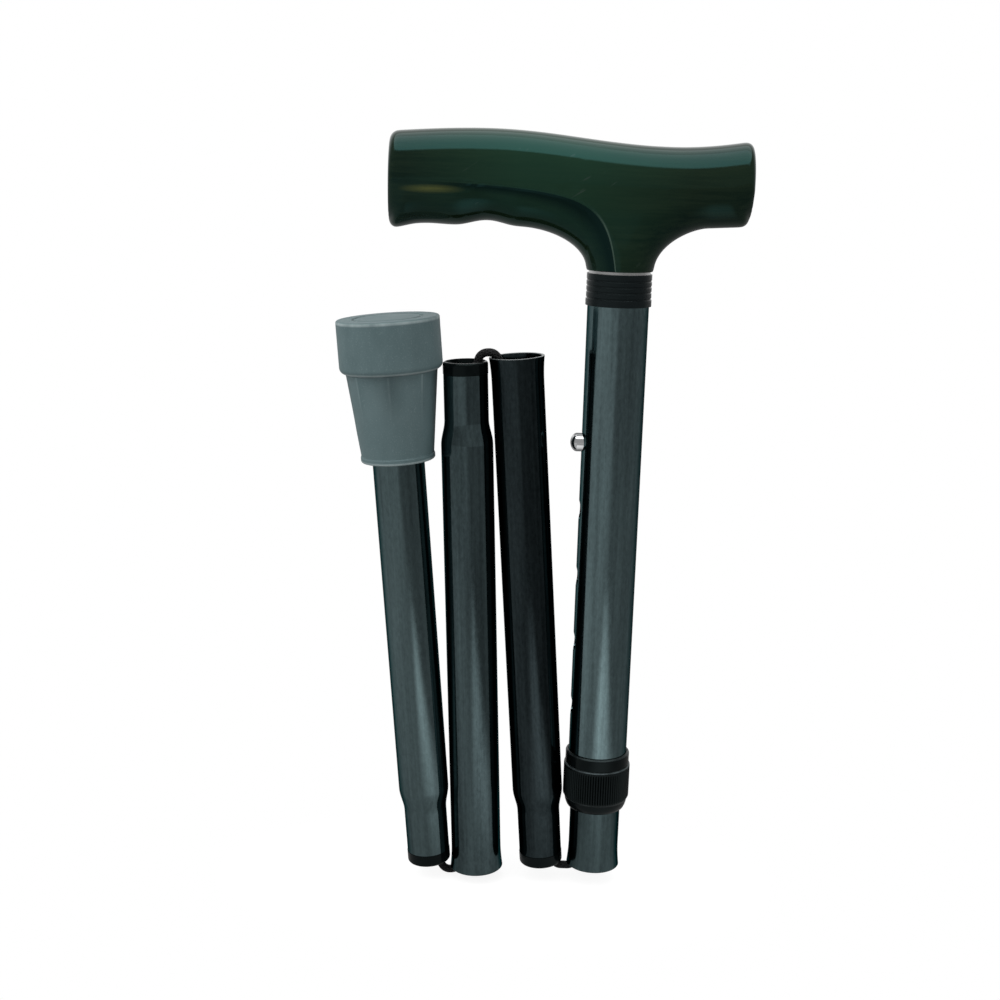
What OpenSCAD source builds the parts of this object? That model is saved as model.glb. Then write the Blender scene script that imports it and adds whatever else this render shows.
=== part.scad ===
// Folding walking cane, folded: four tube sections side by side on one elastic cord.
// Every section is drawn on its own axis, then stood in its place in the folded fan.
// Heights are measured from the socket mouth of the upper section.

/* [Tubes] */
// Outside diameter of the outer tube
outer_d = 22; // [20:0.1:25]
// Wall of the outer tube
outer_wall = 1.15; // [0.8:0.05:2]
// Outside diameter of the inner tube and the lower tubes
tube_d = 19.05; // [16:0.05:22]
// Wall of the inner tube and the lower tubes
tube_wall = 1; // [0.6:0.05:2]
// Height of the outer tube's lower end
outer_low = 31; // [25:0.5:36]
// Length of the outer tube
outer_l = 197.3; // [150:0.1:240]
// Gap between the handle's screw and the inner tube's cap
inner_gap = 10.05; // [4:0.05:20]
// Outside diameter of a flared socket mouth
mouth_d = 20.2; // [19.2:0.1:21]
// Length of the flare
mouth_l = 9; // [4:0.5:12]
// Corner round of a tube's cut end
edge_r = 0.2; // [0.1:0.05:0.4]

/* [Spigots] */
// Outside diameter of a spigot
spigot_d = 16.2; // [14:0.1:17]
// Straight length of a spigot
spigot_l = 17; // [12:0.5:24]
// Length of the cone between spigot and tube
shoulder_l = 9; // [5:0.5:14]
// Diameter of a plug's cap
cap_d = 16.44; // [14:0.02:17]
// Thickness of a plug's cap
cap_l = 4.5; // [3:0.1:8]
// Edge round of a plug's cap
cap_round = 1; // [0.4:0.1:2]
// Length of a plug inside the spigot
plug_l = 13; // [8:0.5:18]
// Diameter of the plug's funnel at the cap's face
funnel_d = 14.4; // [12:0.1:15]
// Diameter of the plug's funnel at its inner end
funnel_small_d = 7.4; // [6:0.1:9]

/* [Fan] */
// Distance from the folded sections' ends up to the handle's neck
folded_gap = 30.9; // [20:0.1:60]
// Lean of the second section, degrees
second_lean = 4.5; // [3:0.1:7]
// Distance from the upper section's axis to the second section's cap
second_x = 20.1; // [19.8:0.1:24]
// Lean of the third section, degrees
third_lean = 2.6; // [1:0.1:4]
// Distance from the upper section's axis to the third section's mouth
third_x = 45.1; // [43:0.1:50]
// Drop of the third section's mouth below the upper section's mouth
third_drop = 2.7; // [0:0.1:4]
// Distance from the upper section's axis to the tip section's cap
tip_x = 63.6; // [62:0.1:70]
// Gap between the rubber foot's edge and the third section's cap
foot_gap = 1.2; // [0.6:0.1:4]
// Drop of the tip section's cap below the upper section's mouth
tip_drop = 0.7; // [0:0.1:3]
// Height of the grip's middle above the neck, where the part's origin lies
grip_rise = 29.7; // [20:0.1:40]

/* [Handle] */
// Reach of the long arm from the tube's axis
arm_long = 82.1; // [60:0.1:100]
// Reach of the short nose from the tube's axis
arm_short = 44.6; // [30:0.1:60]
// Diameter of the neck
neck_d = 23.8; // [23:0.1:30]
// Middle height of the top edge above the neck
crown_rise = 45.5; // [36:0.1:60]
// Rise and fall of the top edge
crown_wave = 2.3; // [0:0.1:6]
// Distance from the axis to the top edge's crest
crest_x = 47.4; // [30:0.1:60]
// Distance from the axis to the top edge's dip
dip_x = 17.6; // [8:0.1:30]
// Width of the sweep under the long arm
sweep_long_w = 24; // [15:0.5:30]
// Height of the sweep under the long arm
sweep_long_h = 14.2; // [10:0.1:18]
// Width of the sweep under the nose
sweep_short_w = 18; // [12:0.5:24]
// Height of the sweep under the nose
sweep_short_h = 15.4; // [10:0.1:18]
// Depth of the finger hollows
finger_depth = 1.9; // [0:0.1:4]
// Drop of the underside towards the long arm's end
end_drop = 1.7; // [0:0.1:4]
// Number of finger hollows
finger_count = 2; // [1:1:4]
// Rise of the nose's underside towards its end
nose_rise = 0.9; // [0:0.1:3]
// Half thickness of the arms
arm_half = 12.6; // [10:0.1:18]
// Round of the upper edge
crown_round = 13; // [8:0.5:20]
// Edge round of the ends
end_round = 3; // [1:0.1:6]
// Columns of the handle's skin round each end's edge
end_columns = 4; // [2:1:8]
// Columns of the handle's skin along the long arm
arm_columns = 22; // [10:1:40]
// Columns along each sweep and the neck
sweep_columns = 10; // [6:1:20]
// Columns along the nose
nose_columns = 7; // [4:1:20]
// Rows of the handle's skin on each side
skin_rows = 16; // [8:1:24]

/* [Handle fixing] */
// Diameter of the collar's plain band
collar_d = 23; // [22.4:0.1:26]
// Diameter over the collar's ribs
collar_rib_d = 23.5; // [22.6:0.1:27]
// Length of the collar
collar_l = 11.3; // [6:0.1:20]
// Gap between the collar and the handle's neck
collar_gap = 1; // [0.4:0.1:2]
// Number of ribs round the collar
collar_ribs = 4; // [2:1:8]
// Length of the plug in the tube's top
handle_plug_l = 23; // [15:0.5:35]
// Diameter of the handle screw's shank
screw_d = 4.2; // [3:0.1:6]
// Length of the handle screw under its head
screw_l = 46; // [35:1:50]
// Diameter of the handle screw's head
screw_head_d = 8.6; // [6:0.1:12]
// Thickness of the handle screw's head
screw_head_l = 3; // [2:0.1:5]
// Width of the screw's cross slot
screw_slot_w = 1.1; // [0.8:0.1:2]

/* [Height lock] */
// Distance from the inner tube's top down to the button
button_drop = 24; // [16:0.5:40]
// Spacing of the adjusting holes
hole_pitch = 25.4; // [12:0.1:30]
// Most adjusting holes, where the tube has room for them
hole_most = 5; // [2:1:7]
// Diameter of an adjusting hole
hole_d = 7.4; // [5:0.1:8]
// Diameter of the snap button
button_d = 6.8; // [4:0.1:7.2]
// Reach of the button from the tube's axis
button_reach = 15.1; // [13:0.1:17]
// Length of the button's dome
button_dome = 2.4; // [1:0.1:3]
// Diameter of the button's foot
button_foot_d = 8.2; // [6:0.1:8.4]
// Thickness of the button's foot
button_foot_l = 0.5; // [0.3:0.1:1]
// Thickness of the spring strip
leaf_t = 0.5; // [0.3:0.05:0.8]
// Width of the spring strip
leaf_w = 6; // [4:0.1:8]
// Height of the spring's straight legs
leaf_l = 19; // [12:0.5:30]
// Distance from the axis to the front leg's inner face
leaf_front = 6.2; // [5:0.1:7]
// Distance from the axis to the back leg's outer face
leaf_back = 7.5; // [6:0.1:8]
// Diameter of the bush's flange
flange_d = 24.2; // [23:0.1:28]
// Height of the bush's flange
flange_l = 4.8; // [3:0.1:8]
// Length of the bush's threaded barrel below the flange
barrel_l = 11.2; // [8:0.1:16]
// Diameter of the bush's threaded barrel
barrel_d = 23; // [22.4:0.1:25]
// Length of the collet below the outer tube
collet_l = 4.4; // [3:0.1:10]
// Outside diameter of the collet's lower end
collet_d = 20.3; // [20:0.1:22]
// Width of the collet's slots
collet_slot_w = 1.2; // [0.6:0.1:3]
// Number of collet slots
collet_slots = 4; // [2:1:8]
// Diameter over the nut's ribs
nut_d = 25.2; // [24:0.1:30]
// Depth of the nut's ribs
nut_rib = 0.4; // [0.2:0.05:1]
// Number of ribs round the nut
nut_ribs = 80; // [20:1:100]
// Reach of the nut below the collet
nut_lip = 2.2; // [2:0.1:6]
// Length of the nut's smooth taper
nut_taper_l = 4.2; // [3:0.1:10]
// Diameter of the nut's lower end
nut_small_d = 21.6; // [20.6:0.1:24]

/* [Cord and tip] */
// Diameter of the elastic cord
cord_d = 3; // [2:0.1:6]
// Bend radius of the cord's middle line round a rim
bend_r = 3.4; // [3:0.1:6]
// Gap between the cord and the rim it passes
rim_gap = 0.3; // [0.2:0.05:2]
// Depth in a mouth where the cord comes back to the axis
mouth_run = 32; // [30:0.5:45]
// Depth in a spigot where the cord comes back to the axis
spigot_run = 24; // [18:0.5:30]
// Straight length at each end of a cord's bend, along its tube
end_run = 6; // [4:0.5:8]
// Distance from the button down to the cord's anchor
anchor_drop = 46; // [30:0.5:70]
// Thickness of the cord's anchor
anchor_l = 9; // [5:0.5:15]
// Diameter of a wound stopper knot
knot_d = 11; // [8:0.5:13]
// How much longer the tip section is than the second and third
foot_over = 13.5; // [6:0.1:24]
// Length of the rubber tip
ferrule_l = 51.9; // [30:0.1:60]
// Diameter of the rubber tip's foot band
foot_d = 37.4; // [28:0.1:50]
// Height of the rubber tip's foot band
foot_l = 19.3; // [8:0.1:28]
// Bevel of the sole's rim
foot_bevel = 0.8; // [0.4:0.1:3]
// Diameter of the rubber tip's body where it meets the foot
body_d = 33.4; // [24:0.1:36]
// Diameter of the rubber tip's body at its open end
body_small_d = 26.6; // [22:0.1:34]
// Chamfer of the foot band's edge over the body
foot_chamfer = 2.4; // [0.6:0.1:4]
// Number of flutes round the body
flute_count = 8; // [6:1:16]
// Depth of the flutes where they meet the foot
flute_depth = 0.9; // [0.2:0.1:2]
// Diameter of a flute's round
flute_d = 28; // [8:0.5:40]
// Height of the lip ring at the open end
lip_l = 2.2; // [1:0.1:5]
// How far the lip ring stands out
lip_proud = 0.3; // [0.2:0.1:2]
// Depth of the sole's ring groove
sole_groove = 0.9; // [0.4:0.1:3]
// Width of the sole's ring groove
sole_groove_w = 1.2; // [1:0.1:3]
// Thickness of the tip's steel washer
washer_l = 1.5; // [1:0.1:3]
// Diameter of the tip's steel washer
washer_d = 18.6; // [14:0.1:19]
// Distance from the washer to the sole
washer_depth = 15.7; // [12:0.1:25]

/* [Fits] */
// Gap of a glued or pressed fit inside one section
fit_gap = 0.04; // [0.01:0.01:0.1]
// Gap between pieces that slide past each other
slide_gap = 0.3; // [0.2:0.05:0.6]
// Gap round the cord in a hole
cord_gap = 0.3; // [0.1:0.05:0.6]
// Overrun of a cut past the face it leaves
over = 1; // [0.5:0.1:2]

/* [Hidden] */
$fn = 96;
outer_r = outer_d / 2;
outer_bore = outer_r - outer_wall;
neck_h = outer_low + outer_l;
grip_h = neck_h + grip_rise;
crown_h = neck_h + crown_rise;
collar_top = neck_h - collar_gap;
collar_low = collar_top - collar_l;
inner_top = neck_h - handle_plug_l - screw_head_l - cap_l / 2 - inner_gap;
button_h = inner_top - button_drop;
anchor_h = button_h - anchor_drop;
flange_low = outer_low + barrel_l;
flange_top = flange_low + flange_l;
collet_low = outer_low - collet_l;
nut_low = collet_low - nut_lip;
nut_rib_low = nut_low + nut_taper_l;
hole_count = min(hole_most, 1 + floor((button_h - flange_top - hole_d) / hole_pitch));
section_l = neck_h - folded_gap;
tip_l = section_l + foot_over;
third_top = [third_x + section_l * sin(third_lean), section_l * cos(third_lean) - third_drop];
foot_side = foot_d / 2 - foot_chamfer / 2 + cap_d / 2 + foot_gap;
tip_lean = atan((third_top[0] + foot_side - tip_x) / (third_top[1] + tip_drop));
tube_r = tube_d / 2;
tube_bore = tube_r - tube_wall;
spigot_r = spigot_d / 2;
spigot_bore = spigot_r - tube_wall;
mouth_r = mouth_d / 2;
mouth_bore = mouth_r - tube_wall;
cap_r = cap_d / 2;
cord_r = cord_d / 2;
cord_hole = cord_r + cord_gap;
neck_r = neck_d / 2;
tip_tube_l = tip_l - washer_depth;
leaf_bend = (leaf_front + leaf_t + leaf_back) / 2;
leaf_mid = (leaf_back - leaf_front - leaf_t) / 2;
leaf_low = button_h - leaf_l / 2;
cord_sides = 20;
bend_steps = 10;

// Where each section stands in the fan
module at_upper() {
    translate([0, 0, -grip_h]) children();
}

module at_second() {
    at_upper() translate([-second_x, 0, 0]) rotate([0, -second_lean, 0]) children();
}

module at_third_mouth() {
    at_upper() translate([-third_x, 0, -third_drop]) rotate([0, -third_lean, 0]) children();
}

module at_third() {
    at_third_mouth() translate([0, 0, section_l]) rotate([180, 0, 0]) children();
}

module at_tip() {
    at_upper() translate([-tip_x, 0, -tip_drop]) rotate([0, -tip_lean, 0]) children();
}

// Shapes that several pieces share
module ring(r_out, r_in, low, top) {
    difference() {
        translate([0, 0, low]) cylinder(r = r_out, h = top - low);
        translate([0, 0, low - over]) cylinder(r = r_in, h = top - low + 2 * over);
    }
}

// A tube with a swaged spigot at the bottom, and a flared mouth at the top where it has one
module swaged_tube(length, flared) {
    low = cap_l;
    s1 = low + spigot_l;
    s2 = s1 + shoulder_l;
    top_out = flared ? mouth_r : tube_r;
    top_in = flared ? mouth_bore : tube_bore;
    rotate_extrude() polygon([
        [spigot_bore, low], [spigot_r - edge_r, low], [spigot_r, low + edge_r], [spigot_r, s1],
        [tube_r, s2], [tube_r, length - mouth_l], [top_out, length - edge_r], [top_out - edge_r, length],
        [top_in + edge_r, length], [top_in, length - edge_r], [tube_bore, length - mouth_l], [tube_bore, s2],
        [spigot_bore, s1]]);
}

// An end plug: a rounded cap, a body pressed into the spigot, and a funnel that the cord leaves by
module end_plug() {
    steps = 8;
    body_r = spigot_bore - fit_gap;
    rotate_extrude() polygon(concat(
        [[funnel_d / 2, 0], [cap_r - cap_round, 0]],
        [for (i = [0 : steps]) let (a = 90 * i / steps)
            [cap_r - cap_round + cap_round * sin(a), cap_round - cap_round * cos(a)]],
        [[cap_r, cap_l], [body_r, cap_l], [body_r, cap_l + plug_l], [funnel_small_d / 2, cap_l + plug_l]]));
}

// A straight length of cord on a section's axis
module cord_run(low, top) {
    translate([0, 0, low]) cylinder(r = cord_r, h = top - low);
}

// A stopper knot: three turns wound round the cord's end
module wound_knot(low) {
    turns = 3;
    wind_r = (knot_d - cord_d) / 2;
    for (i = [0 : turns - 1])
        translate([0, 0, low + cord_r + i * cord_d * turn_share])
            rotate_extrude() translate([wind_r, 0]) circle(r = cord_r, $fn = 48);
    translate([0, 0, low]) cylinder(r = wind_r, h = cord_d * (1 + (turns - 1) * turn_share));
}
// Share of the cord's thickness between the turns of a knot
turn_share = 0.8;

// The angle of a direction in the fan's plane, and the turn from one direction to the next
function heading(d) = atan2(d[1], d[0]);
function half_turn(t) = t > 180 ? t - 360 : t < -180 ? t + 360 : t;

// The stations of a cord along a line of points, its corners rounded to bend_r: each is a spot and a heading
function corner(a, p, b) = let (
    h = heading(p - a),
    t = half_turn(heading(b - p) - h),
    start = p - (p - a) / norm(p - a) * bend_r * tan(abs(t) / 2),
    mid = start + sign(t) * bend_r * [-sin(h), cos(h)])
    [for (i = [0 : bend_steps]) let (g = h + t * i / bend_steps)
        [mid + sign(t) * bend_r * [sin(g), -cos(g)], g]];
function stations(p) = let (last = len(p) - 1) concat(
    [[p[0], heading(p[1] - p[0])]],
    [for (i = [1 : last - 1]) each corner(p[i - 1], p[i], p[i + 1])],
    [[p[last], heading(p[last] - p[last - 1])]]);

// A round cord swept along those stations, in the fan's plane
module cord_path(p) {
    s = stations(p);
    last = len(s) - 1;
    skin = [for (q = s) for (k = [0 : cord_sides - 1]) let (a = 360 * k / cord_sides)
        [q[0][0] - sin(q[1]) * cord_r * cos(a), cord_r * sin(a), q[0][1] + cos(q[1]) * cord_r * cos(a)]];
    faces = concat(
        [[for (k = [cord_sides - 1 : -1 : 0]) k]],
        [for (i = [0 : last - 1]) for (k = [0 : cord_sides - 1]) let (
            n = (k + 1) % cord_sides, a = i * cord_sides, b = a + cord_sides)
            each [[a + k, a + n, b + n], [a + k, b + n, b + k]]],
        [[for (k = [0 : cord_sides - 1]) last * cord_sides + k]]);
    polyhedron(points = skin, faces = faces, convexity = 4);
}

// The points of a bend, seen from the mouth it leaves: the axis runs in along +w, the spigot stands at -u
function bend_points(cap, lean) = let (
    level = min(0, cap[1]) - rim_gap - cord_r,
    inward = [-sin(lean), cos(lean)],
    child = cap + spigot_run * inward,
    child_turn = cap + (spigot_run - end_run) * inward,
    rim = mouth_bore - cord_r - rim_gap,
    edge = cap[0] + funnel_d / 2 - cord_r - rim_gap)
    [[0, mouth_run], [0, mouth_run - end_run], [-rim, level], [edge, level], child_turn, child];

// The handle's outline, in the fan's plane
function crown(x) = let (c = cos(180 * (x + crest_x) / (dip_x + crest_x))) crown_h + crown_wave
    * (x < -crest_x ? 1 - arm_fall_share * (1 - c) : x > dip_x ? nose_lift_share * (1 + c) - 1 : c);
// Shares of the top edge's wave in its fall to the long arm's end and its rise to the nose's
arm_fall_share = 0.7;
nose_lift_share = 1.6;
// Shares that draw each sweep's round out towards a straight line
long_sweep_share = 1.1;
short_sweep_share = 1.35;
// Share of a finger hollow in which the underside drops to the long arm's end
end_drop_share = 0.55;
arm_level = neck_h + sweep_long_h;
nose_level = neck_h + sweep_short_h;
sweep_long_x = -neck_r - sweep_long_w;
sweep_short_x = neck_r + sweep_short_w;
finger_w = (arm_long + sweep_long_x) / finger_count;

// The underside, from the long arm's end to the nose's end. The first and last columns go round the ends' edges
function end_step(k) = end_round * (1 - cos(90 * k / end_columns));
function end_inset(k) = end_round * (1 - sin(90 * k / end_columns));
function ramp(t) = (1 - cos(180 * min(1, max(0, t)))) / 2;
function hollow(x) = arm_level + finger_depth * (1 - cos(360 * (x - sweep_long_x) / finger_w)) / 2
    - end_drop * ramp((finger_w - arm_long - x) / (finger_w * end_drop_share));
function nose_under(x) = nose_level + nose_rise * (x - sweep_short_x) / (arm_short - sweep_short_x);
arm_span = arm_long - end_round + sweep_long_x;
nose_span = arm_short - end_round - sweep_short_x;
under_end = [for (k = [0 : end_columns - 1]) let (x = -arm_long + end_step(k)) [x, hollow(x) + end_inset(k)]];
under_arm = [for (i = [0 : arm_columns - 1]) let (x = -arm_long + end_round + arm_span * i / arm_columns)
    [x, hollow(x)]];
under_long = [for (i = [0 : sweep_columns - 1]) let (a = 90 - 90 * i / sweep_columns)
    [-neck_r - sweep_long_w * (1 - pow(cos(a), long_sweep_share)), neck_h + sweep_long_h * sin(a)]];
under_neck = [for (i = [0 : sweep_columns]) [-neck_r * cos(180 * i / sweep_columns), neck_h]];
under_short = [for (i = [1 : sweep_columns]) let (a = 90 * i / sweep_columns)
    [neck_r + sweep_short_w * (1 - pow(cos(a), short_sweep_share)), neck_h + sweep_short_h * sin(a)]];
under_nose = [for (i = [1 : nose_columns]) let (x = sweep_short_x + nose_span * i / nose_columns)
    [x, nose_under(x)]];
under_tip = [for (k = [end_columns - 1 : -1 : 0]) let (x = arm_short - end_step(k))
    [x, nose_under(x) + end_inset(k)]];
under = concat(under_end, under_arm, under_long, under_neck, under_short, under_nose, under_tip);
left_edge = concat(under_end, under_arm, under_long, [under_neck[0]]);
right_edge = concat([under_neck[sweep_columns]], under_short, under_nose, under_tip);
columns = len(under) - 1;
sweep_first = end_columns + arm_columns;
neck_first = sweep_first + sweep_columns;
neck_last = neck_first + sweep_columns;
sweep_last = neck_last + sweep_columns;
function inset(i) = i < end_columns ? end_inset(i) : i > columns - end_columns ? end_inset(columns - i) : 0;

// The top end of a column: it follows the underside on the arms and spreads out over the neck
spread = (sweep_short_x - sweep_long_x) / (3 * sweep_columns);
function column_top(i) = i < sweep_first || i > sweep_last ? under[i][0] : sweep_long_x + spread * (i - sweep_first);
function column_crown(i) = crown(column_top(i)) - inset(i);

// How far a point of the skin stands out from the middle plane: full inside, and rounded off at every edge
function rounded(d, r) = sqrt(1 - pow(1 - min(1, max(0, d / r)), 2));
function to_line(p, a, b) = let (ab = b - a, t = max(0, min(1, ((p - a) * ab) / (ab * ab)))) norm(p - a - ab * t);
function to_edge(p, e) = min([for (i = [0 : len(e) - 2]) to_line(p, e[i], e[i + 1])]);
function skin_share(j) = (1 - cos(180 * j / skin_rows)) / 2;
function skin_xz(i, j) = let (s = skin_share(j)) [
    under[i][0] + (column_top(i) - under[i][0]) * s,
    under[i][1] + (column_crown(i) - under[i][1]) * s];
function half_thick(z) = arm_half + (neck_r - arm_half) * rounded(arm_level + sweep_long_h - z, sweep_long_h);
function skin_y(p, i) = (half_thick(p[1]) - inset(i))
    * rounded(min(to_edge(p, left_edge), to_edge(p, right_edge)), neck_r)
    * rounded(column_crown(i) - p[1], crown_round);
function on_seam(i, j) = j == skin_rows || (j == 0 && (i <= neck_first || i >= neck_last));
function spot(i, j) = i * (skin_rows + 1) + j;
grid = (columns + 1) * (skin_rows + 1);
function back_spot(i, j) = on_seam(i, j) ? spot(i, j) : grid + spot(i, j);
function corner_cut(i, j) = (i < columns / 2) == (j < skin_rows / 2);

handle_front = [for (i = [0 : columns]) for (j = [0 : skin_rows]) let (p = skin_xz(i, j))
    [p[0], on_seam(i, j) ? 0 : -skin_y(p, i), p[1]]];
handle_points = concat(handle_front, [for (p = handle_front) [p[0], -p[1], p[2]]]);
handle_faces = concat(
    [for (i = [0 : columns - 1]) for (j = [0 : skin_rows - 1]) let (
        a = spot(i, j), b = spot(i + 1, j), c = spot(i + 1, j + 1), d = spot(i, j + 1))
        each corner_cut(i, j) ? [[a, c, b], [a, d, c]] : [[a, d, b], [b, d, c]]],
    [for (i = [0 : columns - 1]) for (j = [0 : skin_rows - 1]) let (
        a = back_spot(i, j), b = back_spot(i + 1, j), c = back_spot(i + 1, j + 1), d = back_spot(i, j + 1))
        each corner_cut(i, j) ? [[a, b, c], [a, c, d]] : [[a, b, d], [b, c, d]]],
    [concat([for (i = [neck_first : neck_last]) spot(i, 0)],
        [for (i = [neck_last - 1 : -1 : neck_first + 1]) back_spot(i, 0)])],
    [concat([for (j = [skin_rows : -1 : 0]) spot(0, j)], [for (j = [1 : skin_rows - 1]) back_spot(0, j)])],
    [concat([for (j = [0 : skin_rows]) spot(columns, j)],
        [for (j = [skin_rows - 1 : -1 : 1]) back_spot(columns, j)])]);

// Upper section
module handle() {
    color("#1d2420") at_upper() difference() {
        polyhedron(points = handle_points, faces = handle_faces, convexity = 6);
        translate([0, 0, neck_h - over]) cylinder(r = screw_d / 2 + fit_gap, h = screw_l - handle_plug_l + 2 * over);
    }
}

module handle_collar() {
    pitch = (collar_top - collar_low) / (collar_ribs + 1);
    color("#17181a") at_upper() difference() {
        union() {
            translate([0, 0, collar_low]) cylinder(r = collar_d / 2, h = collar_top - collar_low);
            for (i = [0 : collar_ribs])
                translate([0, 0, collar_low + pitch * i])
                    cylinder(r = collar_rib_d / 2, h = pitch * (i == 0 ? 1 : collar_rib_share));
        }
        translate([0, 0, collar_low - over])
            cylinder(r = outer_r + fit_gap, h = collar_top - collar_low + 2 * over);
    }
}
// Share of the collar's pitch that a rib fills
collar_rib_share = 0.6;

module handle_plug() {
    color("#e8e6df") at_upper()
        ring(outer_bore - fit_gap, screw_d / 2 + fit_gap, neck_h - handle_plug_l, neck_h - fit_gap);
}

module handle_screw() {
    seat = neck_h - handle_plug_l - fit_gap;
    tip = screw_d;
    color("#b9bcc0") at_upper() difference() {
        union() {
            translate([0, 0, seat]) cylinder(r = screw_d / 2, h = screw_l - tip);
            translate([0, 0, seat + screw_l - tip]) cylinder(r1 = screw_d / 2, r2 = 0, h = tip);
            translate([0, 0, seat - screw_head_l]) cylinder(r = screw_head_d / 2, h = screw_head_l);
        }
        for (a = [0, 90]) rotate([0, 0, a])
            translate([-screw_head_d * slot_share / 2, -screw_slot_w / 2, seat - screw_head_l - over])
            cube([screw_head_d * slot_share, screw_slot_w, screw_head_l / 2 + over]);
    }
}
// Share of the screw's head that its cross slot spans
slot_share = 0.55;

module outer_tube() {
    color("#3a4045") at_upper() difference() {
        ring(outer_r, outer_bore, outer_low, neck_h - fit_gap);
        for (i = [0 : hole_count - 1])
            translate([-outer_r - over, 0, button_h - i * hole_pitch]) rotate([0, 90, 0])
                cylinder(r = hole_d / 2, h = outer_r, $fn = 48);
    }
}

module lock_bush() {
    color("#17181a") at_upper() difference() {
        rotate_extrude() polygon([
            [outer_bore, collet_low], [collet_d / 2, collet_low], [barrel_d / 2 - edge_r, outer_low],
            [barrel_d / 2, outer_low + edge_r], [barrel_d / 2, flange_low], [flange_d / 2 - edge_r, flange_low],
            [flange_d / 2, flange_low + edge_r], [flange_d / 2, flange_top - 3 * edge_r],
            [flange_d / 2 - 3 * edge_r, flange_top], [outer_r + fit_gap, flange_top],
            [outer_r + fit_gap, outer_low - fit_gap], [outer_bore, outer_low - fit_gap]]);
        for (i = [0 : collet_slots - 1]) rotate([0, 0, 360 * i / collet_slots])
            translate([0, -collet_slot_w / 2, collet_low - over])
            cube([outer_d, collet_slot_w, (outer_low - collet_low) * collet_slot_share + over]);
    }
}
// Share of the collet's height that its slots reach
collet_slot_share = 0.75;

module lock_nut() {
    top = flange_low - slide_gap;
    bore = barrel_d / 2 + slide_gap;
    small = tube_r + slide_gap;
    valley = nut_d / 2 - nut_rib;
    step = 360 / nut_ribs;
    color("#17181a") at_upper() difference() {
        union() {
            translate([0, 0, nut_rib_low]) linear_extrude(height = top - nut_rib_low)
                polygon([for (i = [0 : nut_ribs - 1]) for (k = [[0, valley], [rib_share, nut_d / 2], [1 - rib_share, nut_d / 2]])
                    k[1] * [cos(step * (i + k[0])), sin(step * (i + k[0]))]]);
            translate([0, 0, nut_low]) cylinder(r1 = nut_small_d / 2, r2 = valley - edge_r, h = nut_rib_low - nut_low);
        }
        translate([0, 0, outer_low]) cylinder(r = bore, h = top - outer_low + over);
        translate([0, 0, nut_low + slide_gap]) cylinder(r1 = small, r2 = bore, h = outer_low - nut_low - slide_gap);
        translate([0, 0, nut_low - over]) cylinder(r = small, h = 3 * over);
    }
}

// Share of a rib's step at which its crest begins
rib_share = 0.3;

// Inner tube with its snap button
module inner_tube() {
    color("#4a5157") at_upper() difference() {
        rotate_extrude() polygon([
            [mouth_bore + edge_r, 0], [mouth_r - edge_r, 0], [mouth_r, edge_r], [tube_r, mouth_l],
            [tube_r, inner_top], [tube_bore, inner_top], [tube_bore, mouth_l], [mouth_bore, edge_r]]);
        translate([-tube_r - over, 0, button_h]) rotate([0, 90, 0])
            cylinder(r = hole_d / 2, h = tube_r, $fn = 48);
    }
}

module inner_cap() {
    color("#e8e6df") at_upper() {
        translate([0, 0, inner_top + fit_gap]) cylinder(r = tube_r, h = cap_l / 2);
        ring(tube_bore - fit_gap, tube_bore - cap_l / 2, inner_top - cap_l, inner_top + fit_gap);
    }
}

module button_spring() {
    color("#b9bcc0") at_upper() {
        translate([-leaf_front - leaf_t, -leaf_w / 2, leaf_low]) cube([leaf_t, leaf_w, leaf_l]);
        translate([leaf_back - leaf_t, -leaf_w / 2, leaf_low]) cube([leaf_t, leaf_w, leaf_l]);
        translate([leaf_mid, leaf_w / 2, leaf_low]) rotate([90, 0, 0]) rotate([0, 0, 180])
            rotate_extrude(angle = 180) translate([leaf_bend - leaf_t, 0]) square([leaf_t, leaf_w]);
    }
}

module snap_button() {
    foot = leaf_front + leaf_t + fit_gap;
    dome_r = (button_d * button_d / 4 + button_dome * button_dome) / (2 * button_dome);
    steps = 10;
    open = asin(button_d / 2 / dome_r);
    color("#d8dadc") at_upper() translate([0, 0, button_h]) rotate([0, -90, 0])
        rotate_extrude($fn = 64) polygon(concat(
            [[0, foot], [button_foot_d / 2, foot], [button_foot_d / 2, foot + button_foot_l],
                [button_d / 2, foot + button_foot_l]],
            [for (i = [0 : steps]) let (a = open * (1 - i / steps))
                [dome_r * sin(a), button_reach - dome_r + dome_r * cos(a)]]));
}

module cord_anchor() {
    color("#e8e6df") at_upper() ring(tube_bore - fit_gap, cord_hole, anchor_h, anchor_h + anchor_l);
}

module cord_upper_knot() {
    color("#101113") at_upper() wound_knot(anchor_h + anchor_l + fit_gap);
}

module cord_upper_run() {
    color("#101113") at_upper() cord_run(mouth_run + fit_gap, anchor_h + anchor_l);
}

module cord_lower_bend() {
    color("#101113") at_upper() cord_path(bend_points([-second_x, 0], second_lean));
}

// Second section
module second_tube() {
    color("#2b3034") at_second() swaged_tube(section_l, true);
}

module second_plug() {
    color("#17181a") at_second() end_plug();
}

module cord_second_run() {
    color("#101113") at_second() cord_run(spigot_run + fit_gap, section_l - mouth_run - fit_gap);
}

// The third section's cap and lean, seen from the second section's mouth
third_cap = [-third_x - section_l * sin(third_lean), -third_drop + section_l * cos(third_lean)];
second_mouth = [-second_x - section_l * sin(second_lean), section_l * cos(second_lean)];
function turned(p, a) = [p[0] * cos(a) + p[1] * sin(a), -p[0] * sin(a) + p[1] * cos(a)];
cap_from_mouth = turned(third_cap - second_mouth, second_lean);

module cord_top_bend() {
    color("#101113") at_second() translate([0, 0, section_l]) rotate([180, 0, 0])
        cord_path(bend_points([cap_from_mouth[0], -cap_from_mouth[1]], second_lean - third_lean));
}

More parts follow.
